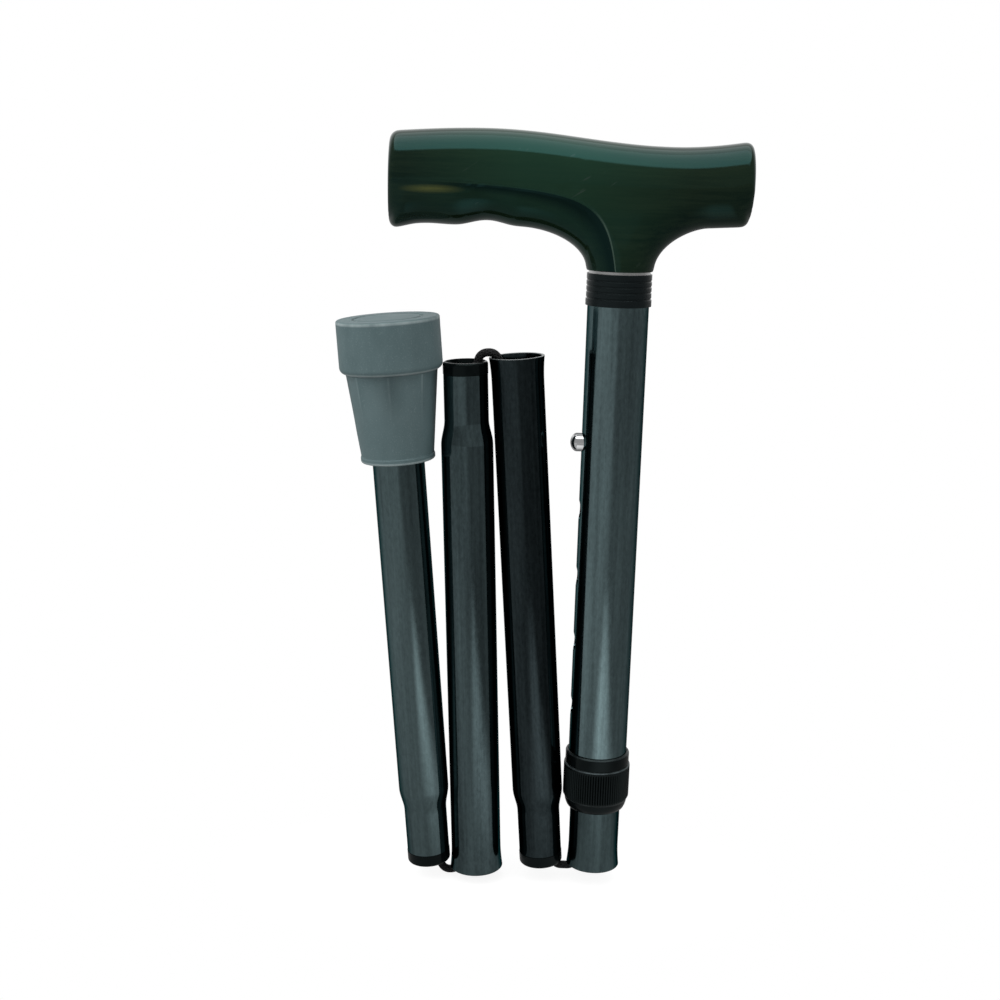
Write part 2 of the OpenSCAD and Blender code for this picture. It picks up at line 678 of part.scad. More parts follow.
// Third section
module third_tube() {
    color("#3d444a") at_third() swaged_tube(section_l, true);
}

module third_plug() {
    color("#17181a") at_third() end_plug();
}

module cord_third_run() {
    color("#101113") at_third() cord_run(spigot_run + fit_gap, section_l - mouth_run - fit_gap);
}

tip_cap = turned([third_x - tip_x, third_drop - tip_drop], third_lean);

module cord_foot_bend() {
    color("#101113") at_third_mouth() cord_path(bend_points(tip_cap, tip_lean - third_lean));
}

// Tip section
module tip_tube() {
    color("#3d444a") at_tip() swaged_tube(tip_tube_l, false);
}

module tip_plug() {
    color("#17181a") at_tip() end_plug();
}

module cord_tip_run() {
    color("#101113") at_tip() cord_run(spigot_run + fit_gap, tip_tube_l + washer_l + fit_gap);
}

module cord_tip_knot() {
    color("#101113") at_tip() wound_knot(tip_tube_l + washer_l + 2 * fit_gap);
}

module tip_washer() {
    color("#b9bcc0") at_tip()
        ring(washer_d / 2, cord_hole, tip_tube_l + fit_gap, tip_tube_l + fit_gap + washer_l);
}

module rubber_tip() {
    low = tip_l - ferrule_l;
    step = tip_l - foot_l;
    body_low = low + lip_l;
    knot_l = cord_d * (1 + 2 * turn_share);
    knot_top = tip_tube_l + washer_l + knot_l + cord_gap;
    small = body_small_d / 2;
    slope = atan((body_d / 2 - small) / (step - body_low));
    flute_l = (step - body_low) * flute_share;
    fade = atan(flute_depth / flute_l);
    fade_r = small + (step - body_low - flute_l) * tan(slope);
    color("#6c7478") at_tip() difference() {
        rotate_extrude() polygon([
            [0, low], [small + lip_proud, low], [small + lip_proud, body_low], [small, body_low],
            [body_d / 2, step], [foot_d / 2 - foot_chamfer, step], [foot_d / 2, step + foot_chamfer],
            [foot_d / 2, tip_l - foot_bevel], [foot_d / 2 - foot_bevel, tip_l], [0, tip_l]]);
        for (i = [0 : flute_count - 1]) rotate([0, 0, 360 * (i + 1 / 2) / flute_count])
            translate([fade_r + flute_d / 2, 0, step - flute_l]) rotate([0, slope - fade, 0])
            translate([0, 0, -flute_l]) cylinder(r = flute_d / 2, h = 2 * flute_l - flute_d * sin(slope) / 2);
        translate([0, 0, low - over]) cylinder(r = tube_r + fit_gap, h = tip_tube_l + washer_l + 2 * fit_gap - low + over);
        translate([0, 0, low]) cylinder(r = knot_d / 2 + cord_gap, h = knot_top - low);
        ring(foot_d * sole_share + sole_groove_w / 2, foot_d * sole_share - sole_groove_w / 2,
            tip_l - sole_groove, tip_l + over);
    }
}
// Share of the body's length that the flutes reach
flute_share = 0.7;
// Share of the foot's diameter at which the sole's groove runs
sole_share = 0.33;

handle();
handle_collar();
handle_plug();
handle_screw();
outer_tube();
lock_bush();
lock_nut();
inner_tube();
inner_cap();
button_spring();
snap_button();
cord_anchor();
cord_upper_knot();
cord_upper_run();
cord_lower_bend();
second_tube();
second_plug();
cord_second_run();
cord_top_bend();
third_tube();
third_plug();
cord_third_run();
cord_foot_bend();
tip_tube();
tip_plug();
cord_tip_run();
cord_tip_knot();
tip_washer();
rubber_tip();
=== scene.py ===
import math

import bmesh
import bpy
from mathutils import Matrix, Vector


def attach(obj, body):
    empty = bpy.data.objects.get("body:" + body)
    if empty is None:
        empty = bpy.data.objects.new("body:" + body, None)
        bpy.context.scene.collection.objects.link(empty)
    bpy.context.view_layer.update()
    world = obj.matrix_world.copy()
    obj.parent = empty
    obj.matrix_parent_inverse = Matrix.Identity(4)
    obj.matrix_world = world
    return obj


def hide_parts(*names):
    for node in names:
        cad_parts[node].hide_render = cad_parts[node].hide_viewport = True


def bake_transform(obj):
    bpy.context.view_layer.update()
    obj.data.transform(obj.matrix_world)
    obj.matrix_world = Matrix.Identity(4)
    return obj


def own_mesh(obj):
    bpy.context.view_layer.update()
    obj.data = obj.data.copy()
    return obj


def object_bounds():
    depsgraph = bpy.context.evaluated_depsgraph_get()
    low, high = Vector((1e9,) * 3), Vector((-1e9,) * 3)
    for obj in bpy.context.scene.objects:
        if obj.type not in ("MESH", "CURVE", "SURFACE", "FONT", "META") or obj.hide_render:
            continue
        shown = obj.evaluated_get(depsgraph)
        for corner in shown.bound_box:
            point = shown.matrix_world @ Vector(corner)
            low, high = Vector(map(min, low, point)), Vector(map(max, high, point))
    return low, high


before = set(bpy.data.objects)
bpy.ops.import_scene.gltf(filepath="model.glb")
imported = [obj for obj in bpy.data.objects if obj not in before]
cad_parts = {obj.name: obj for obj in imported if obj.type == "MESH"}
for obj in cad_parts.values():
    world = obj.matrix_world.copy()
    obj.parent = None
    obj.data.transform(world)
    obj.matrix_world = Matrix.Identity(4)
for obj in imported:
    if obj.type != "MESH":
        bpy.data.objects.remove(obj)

cad_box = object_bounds()
scene = bpy.context.scene
scene.view_settings.view_transform = "Standard"


# Studio floor: a pale table top just under the folded tubes' ends. It shows white and keeps the shadow.
# In the cane's gloss it is a pool of light that falls off to the dim room, and the camera looks through it
# a few centimetres away from the cane.
def put(tree, kind, inputs=None, **settings):
    """Adds a shader node. A socket among the inputs is linked, anything else is that input's constant."""
    made = tree.nodes.new("ShaderNode" + kind)
    for name, value in settings.items():
        setattr(made, name, value)
    for name, value in (inputs or {}).items():
        if isinstance(value, bpy.types.NodeSocket):
            tree.links.new(value, made.inputs[name])
        else:
            made.inputs[name].default_value = value
    return made


def reckon(tree, operation, *values):
    """One step of arithmetic on numbers and sockets."""
    return put(tree, "Math", dict(enumerate(values)), operation=operation).outputs[0]


def spread(tree, value, low, high, to_low, to_high, kind="LINEAR"):
    """A value taken from one range to another, and held there."""
    ends = {"Value": value, "From Min": low, "From Max": high, "To Min": to_low, "To Max": to_high}
    return put(tree, "MapRange", ends, interpolation_type=kind).outputs[0]


def blend_colours(tree, share, first, second):
    """A colour between two others."""
    return put(tree, "Mix", {0: share, 6: first, 7: second}, data_type="RGBA").outputs[2]


def reach(tree, place, stretch, shift):
    """How far a place is from a middle, once its axes are stretched and then shifted."""
    mapped = put(tree, "Mapping", {"Vector": place, "Location": shift, "Scale": stretch}).outputs[0]
    return put(tree, "VectorMath", {0: mapped}, operation="LENGTH").outputs["Value"]


def seen_rays(tree):
    """1 on the rays from the camera, and 1 on those in gloss and glass, which show the background too."""
    path = put(tree, "LightPath").outputs
    return path["Is Camera Ray"], reckon(tree, "MAXIMUM", path["Is Glossy Ray"], path["Is Transmission Ray"])


foot_z = cad_box[0][2]
floor_drop, floor_half = 0.0005, 3.0
pool_stretch, pool_shift = (2.2, 1, 1), (-0.064, 0.19, -foot_z)
patch_stretch, patch_shift = (0.55, 1, 1), (0.021, 0, -foot_z)
table_grey, table_white, unlit = (0.3, 0.3, 0.3, 1), (0.86, 0.86, 0.86, 1), (0, 0, 0, 1)

floor_bm = bmesh.new()
bmesh.ops.create_grid(floor_bm, x_segments=2, y_segments=2, size=floor_half)
bmesh.ops.translate(floor_bm, verts=floor_bm.verts, vec=(0, 0, foot_z - floor_drop))
floor_mesh = bpy.data.meshes.new("table_top")
floor_bm.to_mesh(floor_mesh)
floor_bm.free()
floor = bpy.data.objects.new("table_top", floor_mesh)
scene.collection.objects.link(floor)

table = bpy.data.materials.new("pale_table")
table.use_nodes = True
tree = table.node_tree
tree.nodes.clear()
spot = put(tree, "TexCoord").outputs["Object"]
pool = spread(tree, reach(tree, spot, pool_stretch, pool_shift), 0.03, 0.28, 0.85, 0.0, "SMOOTHSTEP")
across = put(tree, "SeparateXYZ", {0: spot}).outputs["X"]
dusk = spread(tree, across, -0.25, 0.12, 0.5, 0.24, "SMOOTHSTEP")
straight_on, mirrored = seen_rays(tree)
glow = reckon(tree, "MULTIPLY_ADD", mirrored, reckon(tree, "ADD", pool, dusk), straight_on)
matt = put(tree, "BsdfDiffuse", {"Color": blend_colours(tree, mirrored, table_grey, unlit)})
shine = put(tree, "Emission", {"Color": table_white, "Strength": glow})
both = put(tree, "AddShader", {0: matt.outputs[0], 1: shine.outputs[0]})
past = spread(tree, reach(tree, spot, patch_stretch, patch_shift), 0.035, 0.06, 0.0, 1.0)
clear = put(tree, "BsdfTransparent")
seen = put(tree, "MixShader", {0: reckon(tree, "MULTIPLY", past, straight_on), 1: both.outputs[0],
                               2: clear.outputs[0]})
put(tree, "OutputMaterial", {"Surface": seen.outputs[0]})
floor_mesh.materials.append(table)

# Studio light: an even sky at about half strength, white where the camera and gloss look at it apart
# from the dim room behind the camera, with one large softbox overhead and two at the sides.
sky_level, room_level, top_level = 0.55, 0.3, 1.9
cane_middle = (-0.03, 0, -0.1)
world = bpy.data.worlds.new("studio_sky")
world.use_nodes = True
scene.world = world
tree = world.node_tree
tree.nodes.clear()
look = put(tree, "SeparateXYZ", {0: put(tree, "TexCoord").outputs["Generated"]}).outputs
ahead = spread(tree, look["Y"], 0.1, 0.85, room_level, 1.0, "SMOOTHSTEP")
above = spread(tree, look["Z"], 0.74, 0.81, 0.0, 1.0, "SMOOTHSTEP")
shown = put(tree, "Mix", {0: above, 2: ahead, 3: top_level}).outputs[0]
straight_on, mirrored = seen_rays(tree)
dimmed = put(tree, "Mix", {0: mirrored, 2: sky_level, 3: shown}).outputs[0]
level = reckon(tree, "MAXIMUM", straight_on, dimmed)
sky = put(tree, "Background", {"Color": (1, 1, 1, 1), "Strength": level})
put(tree, "OutputWorld", {"Surface": sky.outputs[0]})


def softbox(name, place, size, power, in_gloss):
    """A soft lamp aimed at the cane's middle, seen in its gloss or not."""
    lamp = bpy.data.lights.new(name, "AREA")
    lamp.shape = "RECTANGLE"
    lamp.size, lamp.size_y = size
    lamp.energy = power
    holder = bpy.data.objects.new(name, lamp)
    holder.location = place
    holder.rotation_euler = (Vector(cane_middle) - Vector(place)).to_track_quat("-Z", "Y").to_euler()
    holder.visible_glossy = in_gloss
    scene.collection.objects.link(holder)


softbox("overhead_box", (-0.1, -0.25, 1.2), (1.8, 1.2), 5.5, True)
softbox("left_box", (-1.1, -0.6, 0.35), (1.0, 1.6), 9.0, False)
softbox("right_box", (1.2, -0.5, 0.3), (0.8, 1.4), 3.4, False)

# Camera: just above the middle of the grip and half a metre off, tipped down a little and
# turned slightly about its own line of sight, as the photograph was taken.
focal_px, frame_px = 1450, 1000
sensor_w = 36
camera_place = (-0.0401, -0.520, 0.0055)
tip_down = math.radians(13)
roll = math.radians(1.68)
camera_data = bpy.data.cameras.new("camera")
camera_data.sensor_width = sensor_w
camera_data.lens = sensor_w * focal_px / frame_px
camera = bpy.data.objects.new("camera", camera_data)
right = Vector((1, 0, 0))
up = Vector((0, math.sin(tip_down), math.cos(tip_down)))
image_x = right * math.cos(roll) + up * math.sin(roll)
image_y = up * math.cos(roll) - right * math.sin(roll)
turn = Matrix((image_x, image_y, image_x.cross(image_y))).transposed().to_4x4()
camera.matrix_world = Matrix.Translation(camera_place) @ turn
scene.collection.objects.link(camera)
scene.camera = camera


# Handle: hardwood sawn and sanded to a straight grip with two finger hollows, a short nose and a shallow
# scoop round its inner corner, stained, then sprayed with a dark green lacquer. It stands on the outer tube
# and is screwed up from inside it.
def finish_mesh(bm, name, sharp=math.radians(40)):
    """Turns a bmesh into an object with smooth faces and crisp edges."""
    mesh = bpy.data.meshes.new(name)
    bm.to_mesh(mesh)
    bm.free()
    mesh.shade_smooth()
    mesh.set_sharp_from_angle(angle=sharp)
    piece = bpy.data.objects.new(name, mesh)
    scene.collection.objects.link(piece)
    return piece


def remade(piece):
    """A bmesh of a piece with its modifiers applied. The piece loses them and waits for the new mesh."""
    shaped = piece.evaluated_get(bpy.context.evaluated_depsgraph_get())
    bm = bmesh.new()
    bm.from_mesh(bpy.data.meshes.new_from_object(shaped))
    piece.modifiers.clear()
    return bm


def refinish(bm, piece, sharp):
    """Gives a piece its reworked mesh, with smooth faces and crisp edges."""
    bm.to_mesh(piece.data)
    bm.free()
    piece.data.shade_smooth()
    piece.data.set_sharp_from_angle(angle=sharp)


def new_material(name):
    """A material with a Principled shader, its node tree and the shader."""
    made = bpy.data.materials.new(name)
    made.use_nodes = True
    made.node_tree.nodes.clear()
    shader = put(made.node_tree, "BsdfPrincipled")
    put(made.node_tree, "OutputMaterial", {"Surface": shader.outputs[0]})
    return made, made.node_tree, shader


def feed(tree, shader, values):
    """Links a shader's inputs to the sockets that work them out."""
    for name, value in values.items():
        tree.links.new(value, shader.inputs[name])


def noise(tree, place, stretch, scale, detail, rough):
    """Noise on the piece's own coordinates, stretched along its axes."""
    mapped = put(tree, "Mapping", {"Vector": place, "Scale": stretch})
    return put(tree, "TexNoise", {"Vector": mapped.outputs[0], "Scale": scale, "Detail": detail,
                                  "Roughness": rough}).outputs[0]


def bumpy(tree, height, strength, distance):
    """A normal that a height field roughens."""
    return put(tree, "Bump", {"Strength": strength, "Distance": distance, "Height": height}).outputs[0]


def near_lines(tree, value, lines, inner, outer):
    """A mask of narrow lines, each where a value passes a level and with a strength of its own."""
    mask = 0
    for level, strength in lines:
        off = reckon(tree, "ABSOLUTE", reckon(tree, "SUBTRACT", value, level))
        mask = reckon(tree, "MAXIMUM", spread(tree, off, inner, outer, strength, 0.0), mask)
    return mask


def eased(value, low, high):
    """0 below a range, 1 above it, and a smooth rise between."""
    share = min(1, max(0, (value - low) / (high - low)))
    return share * share * (3 - 2 * share)


# The scoop's edge is a hyperbola about the middle of the grip: it swings from the arm down the neck.
scoop_x, scoop_z = 0.002, 0.0015
scoop_edge, scoop_wall, scoop_floor, scoop_end = 0.000134, 0.000160, 0.000185, 0.000420
scoop_depth, scoop_left, scoop_full = 0.0006, -0.070, -0.050
handle_sharp = math.radians(65)
stain_dark, stain_light = (0.0040, 0.0080, 0.0041, 1), (0.0115, 0.0182, 0.0092, 1)
figure_olive, lit_patch_green = (0.0155, 0.0230, 0.0092, 1), (0.0150, 0.0430, 0.0230, 1)
scoop_painted_shade, lip_highlight = (0.0014, 0.0026, 0.0011, 1), (0.0700, 0.1000, 0.0780, 1)
glint_olive, nick_pale = (0.0800, 0.0840, 0.0220, 1), (0.0480, 0.0640, 0.0520, 1)
lit_patch_middle = (-0.026, -0.012, 0.006)
glint_stretch, glint_shift = (92.0, 0.0, 640.0), (6.13, 0.0, 1.98)

handle_bm = bmesh.new()
handle_bm.from_mesh(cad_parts["handle"].data)
bmesh.ops.remove_doubles(handle_bm, verts=handle_bm.verts, dist=2e-6)
bmesh.ops.join_triangles(handle_bm, faces=handle_bm.faces, angle_face_threshold=math.radians(40),
                         angle_shape_threshold=math.radians(70))
crease = handle_bm.edges.layers.float.new("crease_edge")
for edge in handle_bm.edges:
    if edge.is_manifold and edge.calc_face_angle() > math.radians(60):
        edge[crease] = 1
handle = finish_mesh(handle_bm, "wooden_handle", handle_sharp)
rounded = handle.modifiers.new("rounded", "SUBSURF")
rounded.levels = rounded.render_levels = 2
handle_bm = remade(handle)
handle_bm.normal_update()
for vert in handle_bm.verts:
    cut = (vert.co.x - scoop_x) * min(0, vert.co.z - scoop_z)
    dip = eased(cut, scoop_edge, scoop_wall) * (1 - eased(cut, scoop_floor, scoop_end))
    vert.co -= vert.normal * scoop_depth * dip * eased(vert.co.x, scoop_left, scoop_full)
refinish(handle_bm, handle, handle_sharp)

lacquer, tree, shader = new_material("green_black_lacquer")
own = put(tree, "TexCoord").outputs["Object"]
grain = noise(tree, own, (0.05, 1.0, 1.0), 620, 6, 0.72)
figure = noise(tree, own, (0.25, 1.0, 1.0), 60, 3, 0.5)
stain = blend_colours(tree, spread(tree, grain, 0.38, 0.62, 0.0, 1.0), stain_dark, stain_light)
figured = blend_colours(tree, spread(tree, figure, 0.3, 0.75, 0.0, 0.55), stain, figure_olive)
# Painted sheen: a broad lighter green patch round the middle of the grip stands in for the light the lacquer
# catches there. Nicks gather in the same patch.
lit_patch_reach = put(tree, "VectorMath", {0: own, 1: lit_patch_middle}, operation="DISTANCE").outputs["Value"]
lightened = blend_colours(tree, spread(tree, lit_patch_reach, 0.012, 0.050, 0.7, 0.0), figured, lit_patch_green)
at = put(tree, "SeparateXYZ", {0: own}).outputs
beside = reckon(tree, "SUBTRACT", at["X"], scoop_x)
under = reckon(tree, "MINIMUM", reckon(tree, "SUBTRACT", at["Z"], scoop_z), 0.0)
scoop = reckon(tree, "MULTIPLY", beside, under)
# Painted shade: below the scoop's lip the lacquer is darkened to stand for the shade and dark reflection
# there. The scoop's relief in the mesh is real.
inside = reckon(tree, "MULTIPLY", spread(tree, scoop, 0.000137, 0.000143, 0.0, 0.95),
                spread(tree, at["X"], -0.066, -0.052, 0.4, 1.0))
hollow = reckon(tree, "MULTIPLY", inside, spread(tree, scoop, scoop_floor, 0.000280, 1.0, 0.4))
scoop_shaded = blend_colours(tree, hollow, lightened, scoop_painted_shade)
# Painted highlight: a thin pale line along the scoop's lip, low on the neck.
lip = near_lines(tree, scoop, [(scoop_edge, 0.9)], 0.000001, 0.000008)
lip_low = reckon(tree, "MULTIPLY", lip, spread(tree, at["Z"], -0.015, -0.008, 1.0, 0.0))
lip_highlighted = blend_colours(tree, lip_low, scoop_shaded, lip_highlight)
# Painted glint: a short olive streak on the left arm stands in for a reflection, broken up by the grain.
glint = spread(tree, reach(tree, own, glint_stretch, glint_shift), 0.2, 1.1, 0.9, 0.0)
glint_share = reckon(tree, "MULTIPLY", glint, spread(tree, grain, 0.3, 0.6, 0.4, 1.0))
glinting = blend_colours(tree, glint_share, lip_highlighted, glint_olive)
slanted = put(tree, "Mapping", {"Vector": own, "Rotation": (0, 0.6, 0)}).outputs[0]
nicks = noise(tree, slanted, (0.12, 1.0, 1.0), 520, 2, 0.5)
nicked = reckon(tree, "MULTIPLY", spread(tree, nicks, 0.715, 0.75, 0.0, 0.5),
                spread(tree, lit_patch_reach, 0.01, 0.05, 1.0, 0.2))
scuffs = noise(tree, own, (0.5, 1.0, 6.0), 420, 2, 0.5)
haze = noise(tree, own, (1.0, 1.0, 1.0), 34, 3, 0.5)
dull = reckon(tree, "ADD", spread(tree, scuffs, 0.62, 0.74, 0.0, 0.16),
              spread(tree, haze, 0.3, 0.8, 0.04, 0.09))
ripple = noise(tree, own, (0.35, 1.0, 1.0), 120, 2, 0.5)
height = reckon(tree, "ADD", spread(tree, grain, 0.0, 1.0, 0.0, 0.16), ripple)
feed(tree, shader, {"Base Color": blend_colours(tree, nicked, glinting, nick_pale), "Roughness": dull,
                    "Normal": bumpy(tree, height, 0.08, 0.0006)})
shader.inputs["Specular IOR Level"].default_value = 0.27
shader.inputs["Specular Tint"].default_value = (0.3, 1.0, 1.0, 1)
handle.data.materials.clear()
handle.data.materials.append(lacquer)
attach(handle, "upper_section")
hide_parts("handle")

# Collar: a moulded black plastic ring, glued round the tube under the handle. Four grooves cut it
# into ribs above a plain lower band. From here on sizes are in millimetres.
mm = 0.001
grip_h = 258
upper_place = Matrix.Translation((0, 0, -grip_h * mm))


def turned(profile, place, steps=128, closed=True):
    """A round piece, turned from its half profile of (radius, height) in millimetres and put in place."""
    bm = bmesh.new()
    line = [bm.verts.new((r * mm, 0, z * mm)) for r, z in profile]
    edges = [bm.edges.new(pair) for pair in zip(line, line[1:])]
    if closed:
        edges.append(bm.edges.new((line[-1], line[0])))
    bmesh.ops.spin(bm, geom=line + edges, cent=(0, 0, 0), axis=(0, 0, 1), angle=2 * math.pi, steps=steps,
                   use_merge=True)
    bmesh.ops.remove_doubles(bm, verts=bm.verts, dist=1e-6)
    bmesh.ops.recalc_face_normals(bm, faces=bm.faces)
    bmesh.ops.transform(bm, matrix=place, verts=bm.verts)
    return bm


def soften(bm, width, angle=math.radians(28), segments=3):
    """Rounds every edge that is sharper than the angle."""
    sharp = [e for e in bm.edges if e.is_manifold and e.calc_face_angle() > angle]
    bmesh.ops.bevel(bm, geom=sharp, offset=width * mm, offset_type="OFFSET", affect="EDGES",
                    segments=segments, profile=0.5, material=-1, clamp_overlap=True)
    bmesh.ops.remove_doubles(bm, verts=bm.verts, dist=1e-6)


def even_normals(piece):
    """Keeps broad faces flat beside their rounded edges."""
    piece.modifiers.new("even_normals", "WEIGHTED_NORMAL").keep_sharp = True


fit = 0.04
outer_r = 11
collar_low, collar_top = 216, 227.3
collar_r, groove_r, band_r = 11.62, 11.4, 11.75
grooves = [218.4, 220.7, 222.7, 224.7]
groove_w = 0.55
collar_round = 0.13
plastic_dark, plastic_light = (0.0010, 0.0016, 0.0018, 1), (0.0030, 0.0042, 0.0046, 1)
collar_grey, plastic_edge_highlight = (0.0085, 0.0115, 0.0125, 1), (0.090, 0.112, 0.118, 1)
highlight_edges = [(46.65, 0.3), (41.75, 1.0), (28.4, 0.45)]

collar_line = [(outer_r + fit, collar_low), (band_r, collar_low), (band_r, grooves[0])]
for groove_low, rib_top in zip(grooves, grooves[1:] + [collar_top]):
    groove_top = groove_low + groove_w
    collar_line += [(groove_r, groove_low), (groove_r, groove_top)]
    collar_line += [(collar_r, groove_top), (collar_r, rib_top)]
collar_line.append((outer_r + fit, collar_top))
collar_bm = turned(collar_line, upper_place)
soften(collar_bm, collar_round)
collar = finish_mesh(collar_bm, "ribbed_collar")
even_normals(collar)

black_plastic, tree, shader = new_material("black_moulded_plastic")
own = put(tree, "TexCoord").outputs["Object"]
pores = noise(tree, own, (1, 1, 1), 2600, 2, 0.6)
cloud = noise(tree, own, (1, 1, 1), 180, 4, 0.55)
tone = blend_colours(tree, spread(tree, cloud, 0.35, 0.75, 0.0, 1.0), plastic_dark, plastic_light)
height = put(tree, "SeparateXYZ", {0: own}).outputs["Z"]
greyed = blend_colours(tree, spread(tree, height, -0.045, -0.043, 0.0, 0.8), tone, collar_grey)
# Painted highlights: thin pale lines at the flange's top edge, the nut's top edge and its lip, broken up by
# the cloud noise.
edge_lines = [((edge_h - grip_h) * mm, strength) for edge_h, strength in highlight_edges]
edges = near_lines(tree, height, edge_lines, 0.0001, 0.00036)
edge_highlight = reckon(tree, "MULTIPLY", edges, spread(tree, cloud, 0.35, 0.65, 0.25, 0.8))
feed(tree, shader, {"Base Color": blend_colours(tree, edge_highlight, greyed, plastic_edge_highlight),
                    "Roughness": spread(tree, cloud, 0.3, 0.75, 0.18, 0.3),
                    "Normal": bumpy(tree, pores, 0.12, 0.0001)})
shader.inputs["Specular IOR Level"].default_value = 0.17
shader.inputs["Specular Tint"].default_value = (0.75, 1.0, 1.0, 1)
collar.data.materials.append(black_plastic)
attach(collar, "upper_section")
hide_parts("handle_collar")


# Outer tube: drawn aluminium with five punched holes along its side, sprayed dark slate and stoved.
# The handle's plug is pressed into its top, and its cut top edge shows bare above the collar.
def enamel(name, dark, light, lean):
    """Slate enamel with faint draw lines along a leaning tube, a few rubs, and a fine orange peel."""
    made, tree, shader = new_material(name)
    own = put(tree, "TexCoord").outputs["Object"]
    along = put(tree, "Mapping", {"Vector": own, "Rotation": (0, math.radians(lean), 0)}).outputs[0]
    lines = noise(tree, along, (1, 1, 0.02), 520, 4, 0.65)
    broad = noise(tree, along, (1, 1, 0.06), 130, 3, 0.6)
    mottle = noise(tree, along, (1, 1, 0.45), 950, 5, 0.75)
    rubs = noise(tree, along, (1, 1, 0.35), 210, 5, 0.65)
    peel = noise(tree, own, (1, 1, 1), 1500, 2, 0.5)
    mixed = reckon(tree, "ADD", mottle, reckon(tree, "ADD", lines, broad))
    tone = blend_colours(tree, spread(tree, mixed, 1.15, 1.85, 0.0, 1.0), dark, light)
    brighter = [1.3 * part for part in light[:3]] + [1]
    lightened = blend_colours(tree, spread(tree, rubs, 0.6, 0.8, 0.0, 0.4), tone, brighter)
    gloss = reckon(tree, "ADD", spread(tree, mottle, 0.3, 0.7, 0.0, 0.05),
                   spread(tree, rubs, 0.4, 0.75, 0.07, 0.13))
    feed(tree, shader, {"Base Color": lightened, "Roughness": gloss, "Normal": bumpy(tree, peel, 0.05, 0.0001)})
    shader.inputs["Specular Tint"].default_value = (0.22, 0.26, 0.26, 1)
    shader.inputs["Metallic"].default_value = 1.0
    return made


def cut_metal(name, dark, light):
    """Sawn aluminium with fine marks of the cut."""
    made, tree, shader = new_material(name)
    cuts = noise(tree, put(tree, "TexCoord").outputs["Object"], (1, 1, 6), 900, 3, 0.6)
    feed(tree, shader, {"Base Color": blend_colours(tree, cuts, dark, light),
                        "Roughness": spread(tree, cuts, 0.3, 0.7, 0.22, 0.42)})
    shader.inputs["Metallic"].default_value = 1.0
    return made


outer_bore = 9.85
outer_low, neck_h = 31, 228.3
bare_l = 1.2
hole_d, hole_pitch, hole_count, button_h = 7.4, 25.4, 5, 166
hole_sides, hole_round, hole_round_steps = 40, 0.22, 2
bare_dark, bare_light = (0.52, 0.53, 0.53, 1), (0.72, 0.72, 0.71, 1)
# Painted light and shade: each folded section's slate tone is set lighter or darker to stand for the light
# and shade it gets, over one real slate enamel.
upper_dark, upper_light = (0.100, 0.146, 0.153, 1), (0.205, 0.296, 0.310, 1)


def punch_holes(tube, wall_r, heights, rim, segments):
    """Punches holes through the left wall of a tube, and rounds their rims and the tube's ends."""
    punch_bm = bmesh.new()
    for hole_h in heights:
        hole_at = Matrix.Translation((-wall_r * mm, 0, (hole_h - grip_h) * mm))
        bmesh.ops.create_cone(punch_bm, cap_ends=True, segments=hole_sides, radius1=hole_d / 2 * mm,
                              radius2=hole_d / 2 * mm, depth=wall_r * mm,
                              matrix=hole_at @ Matrix.Rotation(math.pi / 2, 4, "Y"))
    punch = finish_mesh(punch_bm, "punch")
    holes = tube.modifiers.new("holes", "BOOLEAN")
    holes.object = punch
    holes.operation = "DIFFERENCE"
    punched_bm = remade(tube)
    bpy.data.objects.remove(punch)
    soften(punched_bm, rim, math.radians(50), segments)
    refinish(punched_bm, tube, math.radians(35))
    even_normals(tube)


outer_bm = turned([(outer_bore, outer_low), (outer_r, outer_low), (outer_r, neck_h - bare_l),
                   (outer_r, neck_h - fit), (outer_bore, neck_h - fit)], upper_place)
outer_tube = finish_mesh(outer_bm, "outer_tube_enamelled")
hole_heights = [button_h - i * hole_pitch for i in range(hole_count)]
punch_holes(outer_tube, outer_r, hole_heights, hole_round, hole_round_steps)
outer_tube.data.materials.append(enamel("slate_enamel_upper", upper_dark, upper_light, 0))
outer_tube.data.materials.append(cut_metal("bare_aluminium", bare_dark, bare_light))
for face in outer_tube.data.polygons:
    if face.center.z > (neck_h - bare_l - grip_h) * mm:
        face.material_index = 1
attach(outer_tube, "upper_section")
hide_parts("outer_tube")

# Handle fixing, inside the tube: a pale plastic plug pressed into the tube's top and the plated wood
# screw that goes up through it into the handle. They are as the CAD part has them.
pale_dark, pale_light = (0.62, 0.60, 0.54, 1), (0.76, 0.74, 0.68, 1)
plated_dark, plated_light = (0.42, 0.43, 0.45, 1), (0.62, 0.63, 0.65, 1)
pale_plastic, tree, shader = new_material("pale_moulded_plastic")
cloud = noise(tree, put(tree, "TexCoord").outputs["Object"], (1, 1, 1), 240, 3, 0.5)
feed(tree, shader, {"Base Color": blend_colours(tree, cloud, pale_dark, pale_light),
                    "Roughness": spread(tree, cloud, 0.3, 0.7, 0.4, 0.55)})
plated_steel, tree, shader = new_material("plated_steel")
brushed = noise(tree, put(tree, "TexCoord").outputs["Object"], (1, 1, 0.05), 1400, 3, 0.6)
feed(tree, shader, {"Base Color": blend_colours(tree, brushed, plated_dark, plated_light),
                    "Roughness": spread(tree, brushed, 0.3, 0.7, 0.24, 0.4)})
shader.inputs["Metallic"].default_value = 1.0


def dress(node, material):
    """Gives a CAD piece that stays as it is its finish."""
    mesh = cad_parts[node].data
    mesh.materials.clear()
    mesh.materials.append(material)


dress("handle_plug", pale_plastic)
dress("handle_screw", plated_steel)

